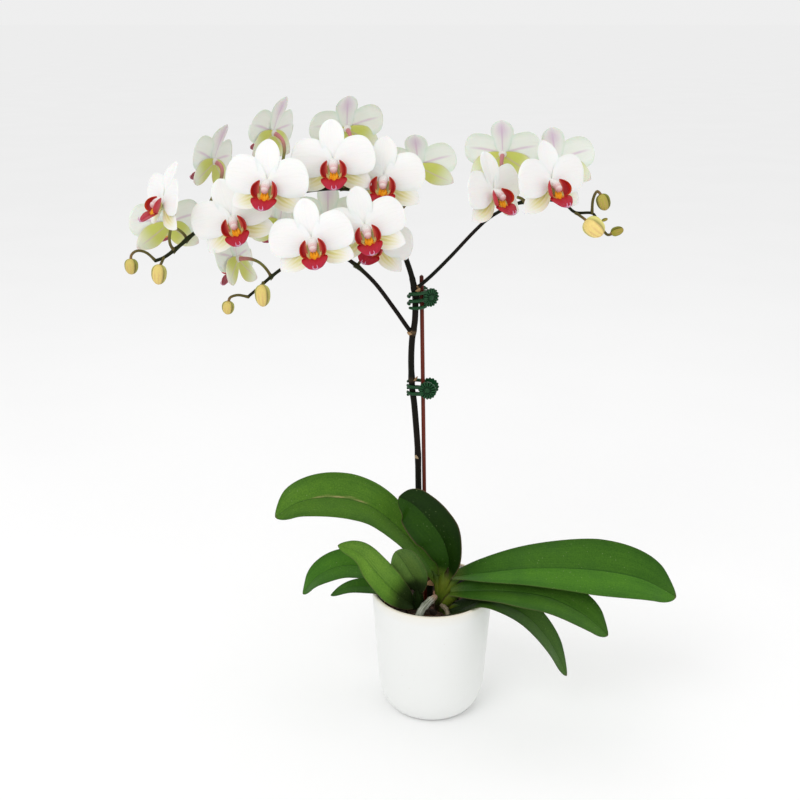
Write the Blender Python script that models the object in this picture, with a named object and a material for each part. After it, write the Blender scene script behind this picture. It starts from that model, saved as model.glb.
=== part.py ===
"""Potted moth orchid: a white ceramic cover pot with a plastic culture pot, bark, two
leafy shoots, a branching flower spike tied to a stake with two sprung clips.

Frame: +Z up, origin at the centre of the pot's base, the plant's front towards -Y.
The tables below are in millimetres; the meshes are made in metres."""

import math

import bmesh
import bpy
import numpy as np
from mathutils import Matrix

MM = 0.001
GAP = 0.35  # left between pieces that touch

# Pot
POT_HEIGHT = 128.0
POT_RIM_R = 60.0
POT_SHOULDER_R = 53.5  # where the straight wall meets the rounded base
POT_SHOULDER_Z = 34.0
POT_BASE_R = 37.0
POT_WALL = 3.5
POT_FLOOR = 5.0
INNER_TOP_Z = 117.0
INNER_WALL = 1.2
BARK_TOP_Z = 107.0

# Stem, stake and clips
STAKE_R = 1.9
SPIKE_R = 3.0
CLIP_PAD_R = 8.7
CLIP_PAD_T = 2.2
CLIP_PAD_X = 1.2  # pad centre from the hinge
CLIP_PAD_Y = 5.3  # inner face of a pad from the hinge
CLIP_PAD_ANGLE = 4.0
CLIP_REACH = 19.0
CLIP_LIFT = 1.1  # pad centre above the middle of the fingers
FINGER_R = 1.35
KNUCKLE_R = 2.4
PIN_R = 0.9

# Leaf
LEAF_EDGE = 0.7  # thickness at the edge

# Flower
SEPAL_LEN, SEPAL_W = 35.0, 10.5
PETAL_LEN, PETAL_W = 36.0, 16.5
LATERAL_LEN, LATERAL_W = 36.0, 11.5
PETAL_RISE = 11.0  # degrees above the horizontal
LATERAL_DROP = 31.0  # degrees below the horizontal
DORSAL_LEAN = -3.0  # the dorsal sepal's tip bends back

for old in list(bpy.data.objects):
    bpy.data.objects.remove(old, do_unlink=True)


# ---------------------------------------------------------------- materials
def material(name, color, roughness, metallic=0.0):
    mat = bpy.data.materials.new(name)
    mat.use_nodes = True
    shader = mat.node_tree.nodes["Principled BSDF"]
    shader.inputs["Base Color"].default_value = (*color, 1.0)
    shader.inputs["Roughness"].default_value = roughness
    shader.inputs["Metallic"].default_value = metallic
    mat.diffuse_color = (*color, 1.0)
    return mat


CERAMIC = material("ceramic", (0.87, 0.89, 0.88), 0.35)
CULTURE = material("culture_plastic", (0.10, 0.10, 0.10), 0.35)
BARK = material("bark", (0.07, 0.035, 0.02), 0.9)
LEAF = material("leaf", (0.07, 0.20, 0.035), 0.42)
SHOOT = material("shoot", (0.16, 0.24, 0.05), 0.5)
ROOT = material("root", (0.50, 0.52, 0.46), 0.8)
SPIKE = material("spike", (0.03, 0.03, 0.022), 0.5)
STAKE = material("stake", (0.20, 0.06, 0.045), 0.45)
CLIP = material("clip", (0.02, 0.09, 0.045), 0.4)
STEEL = material("steel", (0.6, 0.6, 0.58), 0.3, 1.0)
PETAL = material("petal", (0.90, 0.92, 0.89), 0.5)
BUD = material("bud", (0.50, 0.47, 0.14), 0.5)


# ---------------------------------------------------------------- shape helpers
def vec(*a):
    return np.array(a, float)


def unit(v):
    return v / np.linalg.norm(v)


def smooth_path(points, count):
    """Catmull-Rom curve through the points, sampled evenly by parameter."""
    p = np.array(points, float)
    ext = np.vstack([2 * p[0] - p[1], p, 2 * p[-1] - p[-2]])
    out = []
    for u in np.linspace(0, len(p) - 1, count):
        i = min(int(u), len(p) - 2)
        t = u - i
        a, b, c, d = ext[i : i + 4]
        out.append(
            0.5
            * (
                2 * b
                + (c - a) * t
                + (2 * a - 5 * b + 4 * c - d) * t**2
                + (3 * b - a - 3 * c + d) * t**3
            )
        )
    return np.array(out)


def tangents(path):
    t = np.gradient(path, axis=0)
    return t / np.linalg.norm(t, axis=1)[:, None]


def build(name, verts, faces, mat, loc=(0, 0, 0), smooth=35):
    """A mesh object from points in millimetres, with its origin at loc."""
    loc = vec(*loc)
    mesh = bpy.data.meshes.new(name)
    mesh.from_pydata([tuple((np.array(v) - loc) * MM) for v in verts], [], faces)
    bm = bmesh.new()
    bm.from_mesh(mesh)
    bmesh.ops.recalc_face_normals(bm, faces=bm.faces)
    bm.to_mesh(mesh)
    bm.free()
    mesh.materials.append(mat)
    mesh.shade_smooth()
    if smooth:
        mesh.set_sharp_from_angle(angle=math.radians(smooth))
    obj = bpy.data.objects.new(name, mesh)
    obj.location = tuple(loc * MM)
    bpy.context.scene.collection.objects.link(obj)
    return obj


def loft(rings, cap=True):
    """Quads between equal rings of points, with a fan or n-gon on each end."""
    n = len(rings[0])
    verts = [p for ring in rings for p in ring]
    faces = []
    for i in range(len(rings) - 1):
        for j in range(n):
            k = (j + 1) % n
            faces.append((i * n + j, i * n + k, (i + 1) * n + k, (i + 1) * n + j))
    if cap:
        faces.append(tuple(range(n))[::-1])
        faces.append(tuple((len(rings) - 1) * n + j for j in range(n)))
    return verts, faces


def tube(path, radii, sides):
    path = np.array(path, float)
    radii = np.broadcast_to(radii, len(path))
    tan = tangents(path)
    ref = unit(np.cross(tan[0], vec(0.31, 0.95, 0.05)))
    rings = []
    for p, t, r in zip(path, tan, radii):
        ref = unit(ref - t * (ref @ t))
        other = np.cross(t, ref)
        rings.append(
            [
                p + r * (math.cos(a) * ref + math.sin(a) * other)
                for a in np.arange(sides) * 2 * math.pi / sides
            ]
        )
    return loft(rings)


def egg(centre, axis, length, radius, sides, rows=4, blunt=0.45):
    """An ovoid along axis; blunt is where its widest point sits."""
    axis = unit(vec(*axis))
    side = unit(np.cross(axis, vec(0.2, 0.9, 0.3)))
    up = np.cross(axis, side)
    rings = []
    for i in range(rows + 1):
        t = 0.04 + 0.92 * i / rows
        s = t / blunt - 1 if t < blunt else (t - blunt) / (1 - blunt)
        r = radius * math.sqrt(max(0.02, 1 - abs(s) ** 2.1))
        c = vec(*centre) + axis * length * (t - 0.5)
        rings.append(
            [
                c + r * (math.cos(a) * side + math.sin(a) * up)
                for a in np.arange(sides) * 2 * math.pi / sides
            ]
        )
    return loft(rings)


def boolean(target, others, operation):
    """Applies one exact Boolean with the others and removes them."""
    for other in others:
        other.hide_render = True
        other.display_type = "WIRE"
        mod = target.modifiers.new(other.name, "BOOLEAN")
        mod.operation = operation
        mod.solver = "EXACT"
        mod.object = other
    bpy.context.view_layer.update()
    graph = bpy.context.evaluated_depsgraph_get()
    mesh = bpy.data.meshes.new_from_object(target.evaluated_get(graph))
    target.modifiers.clear()
    target.data = mesh
    for other in others:
        bpy.data.objects.remove(other, do_unlink=True)
    return target


def simplify(obj, ratio):
    """Collapses the short edges that a union leaves."""
    mod = obj.modifiers.new("simplify", "DECIMATE")
    mod.ratio = ratio
    bpy.context.view_layer.update()
    graph = bpy.context.evaluated_depsgraph_get()
    mesh = bpy.data.meshes.new_from_object(obj.evaluated_get(graph))
    obj.modifiers.clear()
    obj.data = mesh


def lathe(name, profile, steps, mat):
    """Turns a closed profile of (radius, z) about Z with a Screw modifier."""
    mesh = bpy.data.meshes.new(name)
    mesh.from_pydata(
        [(r * MM, 0, z * MM) for r, z in profile],
        [(i, i + 1) for i in range(len(profile) - 1)],
        [],
    )
    mesh.materials.append(mat)
    obj = bpy.data.objects.new(name, mesh)
    bpy.context.scene.collection.objects.link(obj)
    mod = obj.modifiers.new("turn", "SCREW")
    mod.steps = mod.render_steps = steps
    mod.use_merge_vertices = True
    mod.merge_threshold = 1e-5
    mod.use_smooth_shade = True
    return obj


# ---------------------------------------------------------------- pot
def wall_radius(z, inset=0.0):
    """Outer radius of the pot at height z, less an inset."""
    if z >= POT_SHOULDER_Z:
        share = (z - POT_SHOULDER_Z) / (POT_HEIGHT - POT_SHOULDER_Z)
        return POT_SHOULDER_R + (POT_RIM_R - POT_SHOULDER_R) * share - inset
    share = 1 - z / POT_SHOULDER_Z
    return (
        POT_BASE_R
        + (POT_SHOULDER_R - POT_BASE_R) * math.sqrt(max(0, 1 - share**2))
        - inset
    )


outside = [
    (wall_radius(z), z)
    for z in (POT_HEIGHT - 1.2, POT_SHOULDER_Z, 20, 9, 2.5, 0.0)
]
inside = [
    (wall_radius(z, POT_WALL), z) for z in (10, 20, POT_SHOULDER_Z, POT_HEIGHT - 1)
]
rim = [
    (POT_RIM_R - POT_WALL + 0.6, POT_HEIGHT - 0.1),
    (POT_RIM_R - POT_WALL / 2, POT_HEIGHT),
    (POT_RIM_R - 0.5, POT_HEIGHT - 0.1),
]
lathe(
    "pot",
    [*outside, (0, 0), (0, POT_FLOOR), (wall_radius(5, 8), POT_FLOOR), *inside, *rim]
    + [outside[0]],
    36,
    CERAMIC,
)

# The culture pot hangs inside with a rolled lip and holds the bark.
inner_r = lambda z: 40.0 + (z - 6) * (51.5 - 40.0) / (INNER_TOP_Z - 6)
lathe(
    "culture_pot",
    [
        (inner_r(INNER_TOP_Z) + 1.8, INNER_TOP_Z),
        (inner_r(INNER_TOP_Z) + 1.8, INNER_TOP_Z - 2),
        (inner_r(INNER_TOP_Z - 2), INNER_TOP_Z - 2.5),
        (inner_r(12), 12),
        (33.5, 5.5),
        (0, 5.5),
        (0, 6.8),
        (33.0, 6.8),
        (inner_r(12) - INNER_WALL, 12.6),
        (inner_r(INNER_TOP_Z) - INNER_WALL, INNER_TOP_Z),
        (inner_r(INNER_TOP_Z) + 1.8, INNER_TOP_Z),
    ],
    24,
    CULTURE,
)


# ---------------------------------------------------------------- spike and branches
MAIN = [
    (-1, 4, 92),
    (-2, 2.5, 118),
    (-3.5, 2, 150),
    (-9, 3, 190),
    (-12.2, 3.5, 210),
    (-14, 4, 231),
    (-15, 4.2, 272.5),
    (-18.4, 4, 318),
    (-20.6, 3.6, 336),
    (-21.6, 2.2, 363),
    (-20.8, 0, 385),
    (-18.4, -2.6, 403),
    (-18.1, -4.6, 423),
    (-19.3, -5.0, 434),
    (-21.0, -4.4, 442.5),
]
CENTRE = [
    (-21.2, -4.3, 443.3),
    (-23.2, -2.8, 450),
    (-28.4, 1.5, 465.5),
    (-32.9, 5, 489),
    (-42, 7, 507),
    (-60, 7, 516),
    (-80.6, 6, 521.6),
    (-111.4, 4, 520),
    (-140, 2, 514),
    (-170, 1, 505),
    (-195, 0, 494),
    (-213.5, 0, 483.6),
    (-230.4, 0, 470),
    (-243, 0, 461),
    (-251.5, 0, 457.6),
]
LEFT = [
    (-24.6, -2.2, 395.5),
    (-37.4, -5, 415),
    (-55.2, -12, 441),
    (-75.2, -18, 461),
    (-88, -20, 467),
    (-104, -21, 469),
    (-120, -20.5, 464.5),
    (-135.1, -20, 455.5),
    (-147, -19, 446.5),
    (-156, -18, 438.5),
    (-167.4, -18, 428.9),
]
RIGHT = [
    (-13.4, -6.2, 437),
    (-2, -7, 447.5),
    (14, -7, 464),
    (35.1, -7, 487),
    (50, -7.5, 500),
    (72.1, -8, 510.6),
    (94.4, -10, 513.6),
    (110, -12, 511.5),
    (121, -12, 503.2),
    (135.7, -12, 502.4),
    (141, -11, 495.5),
    (146.5, -11, 487),
]
BRANCHES = {
    "spike_branch_centre": (CENTRE, 2.6, 1.5, 22, 5),
    "spike_branch_left": (LEFT, 2.1, 1.3, 18, 5),
    "spike_branch_right": (RIGHT, 1.8, 1.1, 18, 5),
}


def grow(name, points, r0, r1, count, sides):
    path = smooth_path(points, count)
    build(name, *tube(path, np.linspace(r0, r1, count), sides), SPIKE)


grow("spike_main", MAIN, SPIKE_R + 0.1, SPIKE_R - 0.2, 16, 7)
for name, spec in BRANCHES.items():
    grow(name, *spec)

STAKE_BOTTOM, STAKE_TOP = vec(-4.3, 13.5, 20), vec(-12.6, -0.2, 443)
build("stake", *tube([STAKE_BOTTOM, STAKE_TOP], STAKE_R, 8), STAKE)


# ---------------------------------------------------------------- shoots
SHOOTS = {
    "crown_main": (
        [(10, -6, 98), (13, -7, 116), (15, -7, 130), (17, -7, 143), (18, -7, 148)],
        (8.5, 9, 8.5, 5.5, 2.5),
    ),
    "crown_side": (
        [(-15, -4, 98), (-15, -5, 110), (-14, -5, 120), (-13, -5, 126)],
        (6.5, 7, 5, 2.5),
    ),
}
for name, (points, radii) in SHOOTS.items():
    build(name, *tube(points, radii, 8), SHOOT)

ROOTS = {
    "root_front": ([(1, -18, 123), (-6, -26, 124.5), (-11, -35, 119), (-13, -39, 108), (-13, -38, 100)], 2.9),
    "root_right": ([(9, -19, 118), (13, -26, 118), (15, -33, 113), (15, -34, 100)], 2.2),
    "root_left": ([(-24, -2, 111), (-33, 4, 112), (-40, 6, 106), (-41, 6, 98)], 2.2),
}
for name, (points, radius) in ROOTS.items():
    path = smooth_path(points, 8)
    radii = radius * np.array([0.8, 1, 1, 1.02, 1, 0.97, 0.95, 0.8])
    build(name, *tube(path, radii, 6), ROOT)

# ---------------------------------------------------------------- leaves
# midrib points, half width, place of the widest point, upward normals at base, middle
# and tip, depth of the fold at the midrib
LEAVES = {
    "leaf_big_left": (
        [
            (3, -4, 138), (-9, -7, 163), (-31, -12, 196), (-60, -22, 226), (-92, -33, 240),
            (-124, -42, 240), (-147.5, -48, 227),
        ],
        24.5,
        0.6,
        [(0.45, -0.65, 0.5), (0.25, -0.62, 0.75), (-0.3, -0.5, 0.8)],
        0.22,
    ),
    "leaf_centre": (
        [
            (21, -9, 151), (18, -13, 167), (9, -17, 190), (-4, -22, 212), (-19, -28, 231),
            (-33, -35, 242),
        ],
        23.5,
        0.5,
        [(-0.5, -0.8, 0.3), (-0.4, -0.8, 0.45), (-0.45, -0.72, 0.5)],
        0.28,
    ),
    "leaf_big_right": (
        [
            (28, -8, 140), (50, -14, 151), (93, -27, 163), (149, -37, 167), (195, -45, 162),
            (230, -50, 145),
        ],
        30,
        0.62,
        [(-0.3, -0.1, 0.9), (0, -0.55, 0.83), (0.5, -0.5, 0.7)],
        0.2,
    ),
    "leaf_low_right": (
        [
            (27, -15, 129), (46, -25, 137), (76, -39, 144), (109, -52, 145), (140, -65, 134.5),
            (163, -73, 117),
        ],
        26,
        0.52,
        [(-0.2, -0.4, 0.9), (0.12, -0.34, 0.93), (0.7, -0.45, 0.55)],
        0.2,
    ),
    "leaf_drooping": (
        [
            (22, -22, 116), (33, -28, 124), (47, -35, 131), (66, -42, 132), (90, -44, 120),
            (113, -43, 92), (132, -42, 53),
        ],
        17,
        0.62,
        [(0.0, -0.1, 0.95), (0.3, -0.3, 0.9), (0.8, -0.55, 0.2)],
        0.2,
    ),
    "leaf_twisted": (
        [
            (-22, -15, 117), (-29.5, -22, 127.5), (-41, -32.5, 144.5), (-56, -41, 168),
            (-70, -46, 188.5), (-90, -50, 199),
        ],
        15,
        0.45,
        [(-0.4, -0.5, 0.75), (0.3, -0.8, 0.5), (0.2, -0.5, 0.85)],
        0.25,
    ),
    "leaf_round": (
        [
            (-13, -11, 130), (-16, -16, 142), (-22.5, -22, 156), (-29, -27, 169.5),
            (-35, -30.5, 179),
        ],
        14.2,
        0.5,
        [(-0.5, -0.7, 0.4), (-0.35, -0.8, 0.45), (-0.3, -0.6, 0.7)],
        0.28,
    ),
    "leaf_back_left": (
        [
            (-24, 5, 118), (-40, 11, 128), (-63, 17, 139), (-89, 20, 141), (-114, 20, 130),
            (-131, 18, 110),
        ],
        19,
        0.5,
        [(-0.2, -0.2, 0.95), (-0.1, -0.4, 0.9), (-0.8, -0.35, 0.4)],
        0.2,
    ),
    "leaf_small": (
        [
            (-26, -6, 114), (-42, -10, 127), (-61, -15, 136), (-81, -18, 137),
            (-100, -19, 129),
        ],
        8.5,
        0.45,
        [(-0.2, -0.3, 0.9), (-0.1, -0.5, 0.85), (-0.4, -0.4, 0.8)],
        0.2,
    ),
}


def leaf_width(t, wide):
    """Share of the full half width at t along the leaf."""
    if t < wide:
        return 0.22 + 0.78 * (1 - ((wide - t) / wide) ** 1.25) ** 1.1
    return max(0.05, (1 - ((t - wide) / (1 - wide)) ** 2.3) ** 0.62)


def leaf_frames(points, normals, count):
    path = smooth_path(points, count)
    tan = tangents(path)
    hints = smooth_path(normals, count)
    up = np.array([unit(h - t * (h @ t)) for h, t in zip(hints, tan)])
    return path, np.cross(tan, up), up


def leaf(name, points, half, wide, normals, fold, count=10):
    path, side, up = leaf_frames(points, normals, count)
    rings = []
    for i in range(count):
        t = i / (count - 1)
        w = half * leaf_width(t, wide)
        thick = 0.8 + 2.4 * (1 - t) ** 3
        # the fold deepens towards the base and flattens out at the very tip
        f = fold * (1 + 1.2 * (1 - t) ** 2) * min(1.0, 9 * (1 - t))
        top, low = [], []
        for share in (-1, -0.5, 0, 0.5, 1):
            centre = path[i] + side[i] * w * share + up[i] * w * f * abs(share) ** 1.2
            half_t = (thick * (1 - share * share) + LEAF_EDGE) / 2
            top.append(centre + up[i] * half_t)
            low.insert(0, centre - up[i] * half_t)
        rings.append(top + low)
    return build(name, *loft(rings), LEAF)


for name, spec in LEAVES.items():
    leaf(name, *spec)


# ---------------------------------------------------------------- flower
def tepal(name, root, axis, normal, length, half, curl, stations):
    """A pointed-oval blade with its ridge along axis; curl lifts its tip along normal."""
    root, axis = vec(*root), unit(vec(*axis))
    normal = unit(vec(*normal) - axis * (vec(*normal) @ axis))
    side = np.cross(axis, normal)
    rings = []
    for u, share in stations:
        c = root + axis * length * u + normal * (curl * u * u)
        w = max(0.35, half * share)
        t = 0.75 if share > 0.3 else 0.5
        rings.append([c - side * w, c + normal * t, c + side * w, c - normal * t])
    return build(name, *loft(rings), PETAL)


OVAL = ((0.0, 0.25), (0.35, 0.86), (0.72, 0.95), (1.0, 0.2))
FAN = ((-0.04, 0.1), (0.3, 0.86), (0.7, 1.0), (1.0, 0.4))


def flower_head():
    """Tepals, lip and column as one solid, facing +Z with the dorsal sepal to +Y."""
    parts = [
        tepal("t0", (0, 1, -1.0), (0, 1, 0), (0, 0, 1), SEPAL_LEN, SEPAL_W, DORSAL_LEAN, OVAL)
    ]
    for side in (1, -1):
        a = math.radians(PETAL_RISE)
        parts.append(
            tepal(
                f"p{side}",
                (side * 0.5, 0, 0.6),
                (side * math.cos(a), math.sin(a), 0.02),
                (0, 0, 1),
                PETAL_LEN,
                PETAL_W,
                2.0,
                FAN,
            )
        )
        a = math.radians(LATERAL_DROP)
        parts.append(
            tepal(
                f"s{side}",
                (side * 0.5, -1, -1.2),
                (side * math.cos(a), -math.sin(a), 0.03),
                (0, 0, 1),
                LATERAL_LEN,
                LATERAL_W,
                1.5,
                OVAL,
            )
        )
        # side lobe of the lip, standing up beside the column
        parts.append(
            tepal(
                f"l{side}",
                (side * 5.0, -16.0, 5.5),
                (side * 0.03, 1.0, 0.12),
                (side * -0.6, 0, 0.8),
                15.5,
                4.6,
                -1.0,
                ((0.0, 0.3), (0.45, 1.0), (1.0, 0.2)),
            )
        )
    # middle lobe of the lip, running forward and down to a small tip
    parts.append(
        tepal(
            "lip",
            (0, -1.5, 2.0),
            (0, -0.86, 0.51),
            (0, 0.51, 0.86),
            25,
            11.2,
            1.0,
            ((0.0, 0.22), (0.5, 0.45), (0.66, 1.0), (1.0, 0.2)),
        )
    )
    head = build("head", *egg((0, -1.5, 3.6), (0, -0.35, 1), 11.5, 3.5, 5, 2), PETAL)
    boolean(head, parts, "UNION")
    simplify(head, 0.5)
    head.hide_render = True
    return head


HEAD = flower_head()


def turn(yaw, pitch, roll):
    """Rotation that faces the flower towards -Y, then yaws it to +X, pitches it up and
    leans its top to its own right."""
    y, p, r = (math.radians(a) for a in (yaw, pitch, roll))
    right, up, face = vec(1, 0, 0), vec(0, 0, 1), vec(0, -1, 0)
    right, up = math.cos(r) * right - math.sin(r) * up, math.cos(r) * up + math.sin(r) * right
    flat = vec(1, 0, 0)

    def about(v, k, a):
        return v * math.cos(a) + np.cross(k, v) * math.sin(a) + k * (k @ v) * (1 - math.cos(a))

    cols = [about(about(v, flat, -p), vec(0, 0, 1), y) for v in (right, up, face)]
    return np.array(cols).T


# name: branch, place on the branch 0-1, centre, yaw, pitch, roll, size
FLOWERS = {
    "flower_a": ("C", 0.43, (-88, -32, 549), 0, 4, -3, 1.0),
    "flower_b": ("C", 0.59, (-143, -46, 534), -8, 4, 3, 1.0),
    "flower_c": ("C", 0.70, (-176, -28, 500.5), 0, 2, -19, 1.0),
    "flower_d": ("L", 0.50, (-105, -67, 489), 0, 4, -10.5, 1.0),
    "flower_e": ("L", 0.35, (-61, -50, 497), 5, 4, -12, 0.99),
    "flower_f": ("C", 0.29, (-46, -21, 534), -4, 3, 1, 1.0),
    "flower_g": ("C", 0.872, (-235.5, -24, 516), -58, 14, 0, 0.98),
    "flower_p": ("R", 0.47, (47.6, -38, 525), 44, 13, -3, 0.98),
    "flower_q": ("R", 0.62, (95.8, -37, 533), 33, 10, -3, 1.0),
    "flower_i": ("C", 0.745, (-200.5, 34, 542), -112, 12, -10, 0.98),
    "flower_j": ("C", 0.57, (-146.5, 37, 567), -118, 14, -5, 0.96),
    "flower_k": ("C", 0.40, (-79.7, 36, 571), 200, 24, 7, 0.96),
    "flower_l": ("C", 0.25, (-15.3, 33, 538.5), 176, 24, 6, 0.97),
    "flower_n": ("R", 0.42, (59.2, 20, 550.5), 168, 22, 2, 0.96),
    "flower_o": ("R", 0.60, (108.4, 31, 542.4), 173, 16, 9, 0.96),
    "flower_m": ("L", 0.79, (-179.5, 2.5, 459), -106, -12, -8, 0.98),
    "flower_r": ("L", 0.27, (-52, -10, 479), -20, 0, 20, 0.94),
    "flower_s": ("L", 0.44, (-97, 20, 492), 176, -6, 0, 0.94),
    "flower_t": ("L", 0.60, (-142, 22, 489), -140, -4, -20, 0.94),
    "flower_u": ("C", 0.82, (-245, 28, 486.5), -150, 4, 0, 0.96),
}
PATHS = {
    "C": (smooth_path(CENTRE, 200), np.linspace(2.6, 1.5, 200)),
    "L": (smooth_path(LEFT, 200), np.linspace(2.1, 1.3, 200)),
    "R": (smooth_path(RIGHT, 200), np.linspace(1.8, 1.1, 200)),
}


def pedicel_path(branch, place, back, face, count):
    """Leaves the branch squarely, then bends to meet the back of the flower."""
    path, radii = PATHS[branch]
    i = int(round(place * (len(path) - 1)))
    along = tangents(path)[i]
    out = back - face * 12 - path[i]
    out = unit(out - along * (out @ along))
    start = path[i] + out * (radii[i] + GAP + 0.45)
    reach = np.linalg.norm(back - start)
    p1 = start + out * reach * 0.38
    p2 = back - face * reach * 0.45
    t = np.linspace(0, 1, count)[:, None]
    return (
        (1 - t) ** 3 * start
        + 3 * (1 - t) ** 2 * t * p1
        + 3 * (1 - t) * t**2 * p2
        + t**3 * back
    )


def flower(name, branch, place, centre, yaw, pitch, roll, size):
    turned = turn(yaw, pitch, roll)
    centre = vec(*centre)
    face = turned @ vec(0, 0, 1)
    mesh = HEAD.data.copy()
    mesh.name = name
    for v in mesh.vertices:
        v.co = tuple(turned @ np.array(v.co) * size)
    obj = bpy.data.objects.new(name, mesh)
    obj.location = tuple(centre * MM)
    bpy.context.scene.collection.objects.link(obj)
    back = centre + turned @ vec(0, -1.0, 1.6) * size
    path = pedicel_path(branch, place, back, face, 5)
    stalk = build("stalk", *tube(path, np.linspace(1.35, 1.6, 5), 5), PETAL)
    boolean(obj, [stalk], "UNION")
    obj.data.shade_smooth()
    obj.data.set_sharp_from_angle(angle=math.radians(35))


for name, spec in FLOWERS.items():
    flower(name, *spec)
bpy.data.objects.remove(HEAD, do_unlink=True)

# ---------------------------------------------------------------- buds
# name: stalk points from the branch to the bud, bud centre, axis, length, radius
BUDS = {
    "bud_left_1": (
        [
            (-153.0, -22.2, 443.2), (-153.5, -23.5, 440),
        ],
        (-153.6, -24, 431.5),
        (0.02, 0, -1),
        20,
        7.0,
    ),
    "bud_left_2": (
        [
            (-168.9, -18, 429.2), (-176, -18, 430.5), (-183, -18, 428.5), (-185, -18, 424),
        ],
        (-185.7, -18, 419.0),
        (-0.1, 0, -1),
        12.5,
        5.6,
    ),
    "bud_centre_1": (
        [
            (-244.6, -2.4, 458.6), (-246.5, -3.6, 454),
        ],
        (-248.4, -4, 446.0),
        (-0.12, 0, -1),
        18.5,
        7.0,
    ),
    "bud_centre_2": (
        [
            (-253.2, 0.4, 458.6), (-259, 1, 464.6), (-267, 1, 466.6), (-272.6, 0.5, 463),
            (-273.6, 0, 457),
        ],
        (-273.6, 0, 452.4),
        (-0.05, 0, -1),
        14.5,
        6.2,
    ),
    "bud_right_1": (
        [
            (122.6, -14.6, 501.6), (126, -18, 500.4), (129, -19.5, 498),
        ],
        (136.8, -20.5, 491.4),
        (0.75, -0.05, -0.6),
        20,
        9.0,
    ),
    "bud_right_2": (
        [
            (135.7, -12, 504.6), (135.9, -12, 514), (139, -12, 521.3), (143.1, -12, 517.8),
        ],
        (145.2, -12, 512),
        (0.35, 0, -0.95),
        15,
        6.1,
    ),
    "bud_right_3": (
        [
            (147.8, -11, 485.4), (151.5, -11.5, 483.2), (154.2, -12, 484.2),
        ],
        (158.8, -12, 486.6),
        (0.9, 0, 0.3),
        11.5,
        4.2,
    ),
    "bud_right_4": (
        [
            (143.4, -10.8, 495.4), (145.4, -10.6, 495.8),
        ],
        (147.6, -10.5, 496.4),
        (0.9, 0, 0.3),
        5.5,
        1.5,
    ),
}


def bud(name, stalk, centre, axis, length, radius):
    path = smooth_path([*stalk, vec(*centre) - unit(vec(*axis)) * length * 0.2], 6 if len(stalk) > 2 else 3)
    body = build(name, *egg(centre, axis, length, radius, 7, 4, 0.5), BUD)
    width = min(1.2, radius * 0.5)
    stem = build("stem", *tube(path, width, 5), BUD)
    boolean(body, [stem], "UNION")
    body.data.shade_smooth()


for name, spec in BUDS.items():
    bud(name, *spec)


# ---------------------------------------------------------------- clips
def disc_outline(radius, lobes):
    points = []
    for k in range(lobes * 2):
        a = math.pi * k / lobes
        r = radius if k % 2 == 0 else radius - 0.9
        points.append((r * math.cos(a), r * math.sin(a)))
    return points


def prism(name, outline, to_world, mat):
    """A flat plate: outline points carried to world by to_world(u, v, side)."""
    rings = [[to_world(u, v, s) for u, v in outline] for s in (0, 1)]
    return build(name, *loft(rings), mat)


def cylinder_z(name, centre, radius, z0, z1, sides, mat):
    ring = [
        (centre[0] + radius * math.cos(a), centre[1] + radius * math.sin(a))
        for a in np.arange(sides) * 2 * math.pi / sides
    ]
    rings = [[vec(x, y, z) for x, y in ring] for z in (z0, z1)]
    return build(name, *loft(rings), mat)


def jaw(name, hinge, spin, front, fingers, knuckles, lift):
    """One half of a clip. front is -1 for the half on the viewer's side, +1 for the
    other; spin turns the clip about its hinge pin."""
    hinge = vec(*hinge)
    s = math.radians(spin)

    def place(p):
        x, y, z = p
        y *= front
        return hinge + vec(x * math.cos(s) - y * math.sin(s), x * math.sin(s) + y * math.cos(s), z)

    a = math.radians(CLIP_PAD_ANGLE)
    along, across = vec(math.cos(a), math.sin(a), 0), vec(-math.sin(a), math.cos(a), 0)
    pad_centre = along * CLIP_PAD_X + across * CLIP_PAD_Y + vec(0, 0, lift)

    def pad_point(u, v, side):
        return place(pad_centre + along * u + vec(0, 0, v) + across * (side * CLIP_PAD_T))

    pad = prism(name, disc_outline(CLIP_PAD_R, 12), pad_point, CLIP)
    others = []
    for k, z in enumerate(knuckles):
        others.append(
            cylinder_z(f"k{k}", place((0, 0, 0)), KNUCKLE_R, hinge[2] + z[0], hinge[2] + z[1], 8, CLIP)
        )
        # web from the knuckle to the pad
        web = [(-1.3, 1.2), (-1.5, 6.0), (1.9, 6.2), (1.6, 1.2)]
        rings = [[place((x, y, zz)) for x, y in web] for zz in z]
        others.append(build(f"w{k}", *loft(rings), CLIP))
    r = CLIP_REACH
    for k, z in enumerate(fingers):
        path = [
            (2.0, 6.4, z * 0.9 + lift),
            (-5.0, 6.5, z),
            (-11.5, 6.2, z),
            (-16.6, 4.9, z),
            (-r + 0.2, 2.2, z),
            (-r, 0.3, z),
        ]
        path = [place(p) for p in path]
        others.append(
            build(f"f{k}", *tube(path, [FINGER_R] * 5 + [FINGER_R * 0.8], 5), CLIP)
        )
    boolean(pad, others, "UNION")
    bore = cylinder_z("bore", hinge, PIN_R + GAP, hinge[2] - 12, hinge[2] + 12, 8, CLIP)
    boolean(pad, [bore], "DIFFERENCE")
    simplify(pad, 0.7)
    pad.data.shade_smooth()
    pad.data.set_sharp_from_angle(angle=math.radians(35))
    # the origin sits on the hinge pin
    pad.data.transform(pad.matrix_world)
    pad.data.transform(Matrix.Translation(tuple(-hinge * MM)))
    pad.location = tuple(hinge * MM)
    return pad


def spring(name, hinge, spin):
    """Two turns of wire round the pin, its ends resting between the pads."""
    turns, per = 2, 7
    count = int(turns * per) + 1
    s = math.radians(spin)
    path = []
    for i in range(count):
        a = s + 2 * math.pi * i / per
        z = -1.0 + 2.0 * i / (count - 1)
        path.append(vec(hinge[0] + 1.75 * math.cos(a), hinge[1] + 1.75 * math.sin(a), hinge[2] + z))
    build(name, *tube(path, 0.28, 4), STEEL)


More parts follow.
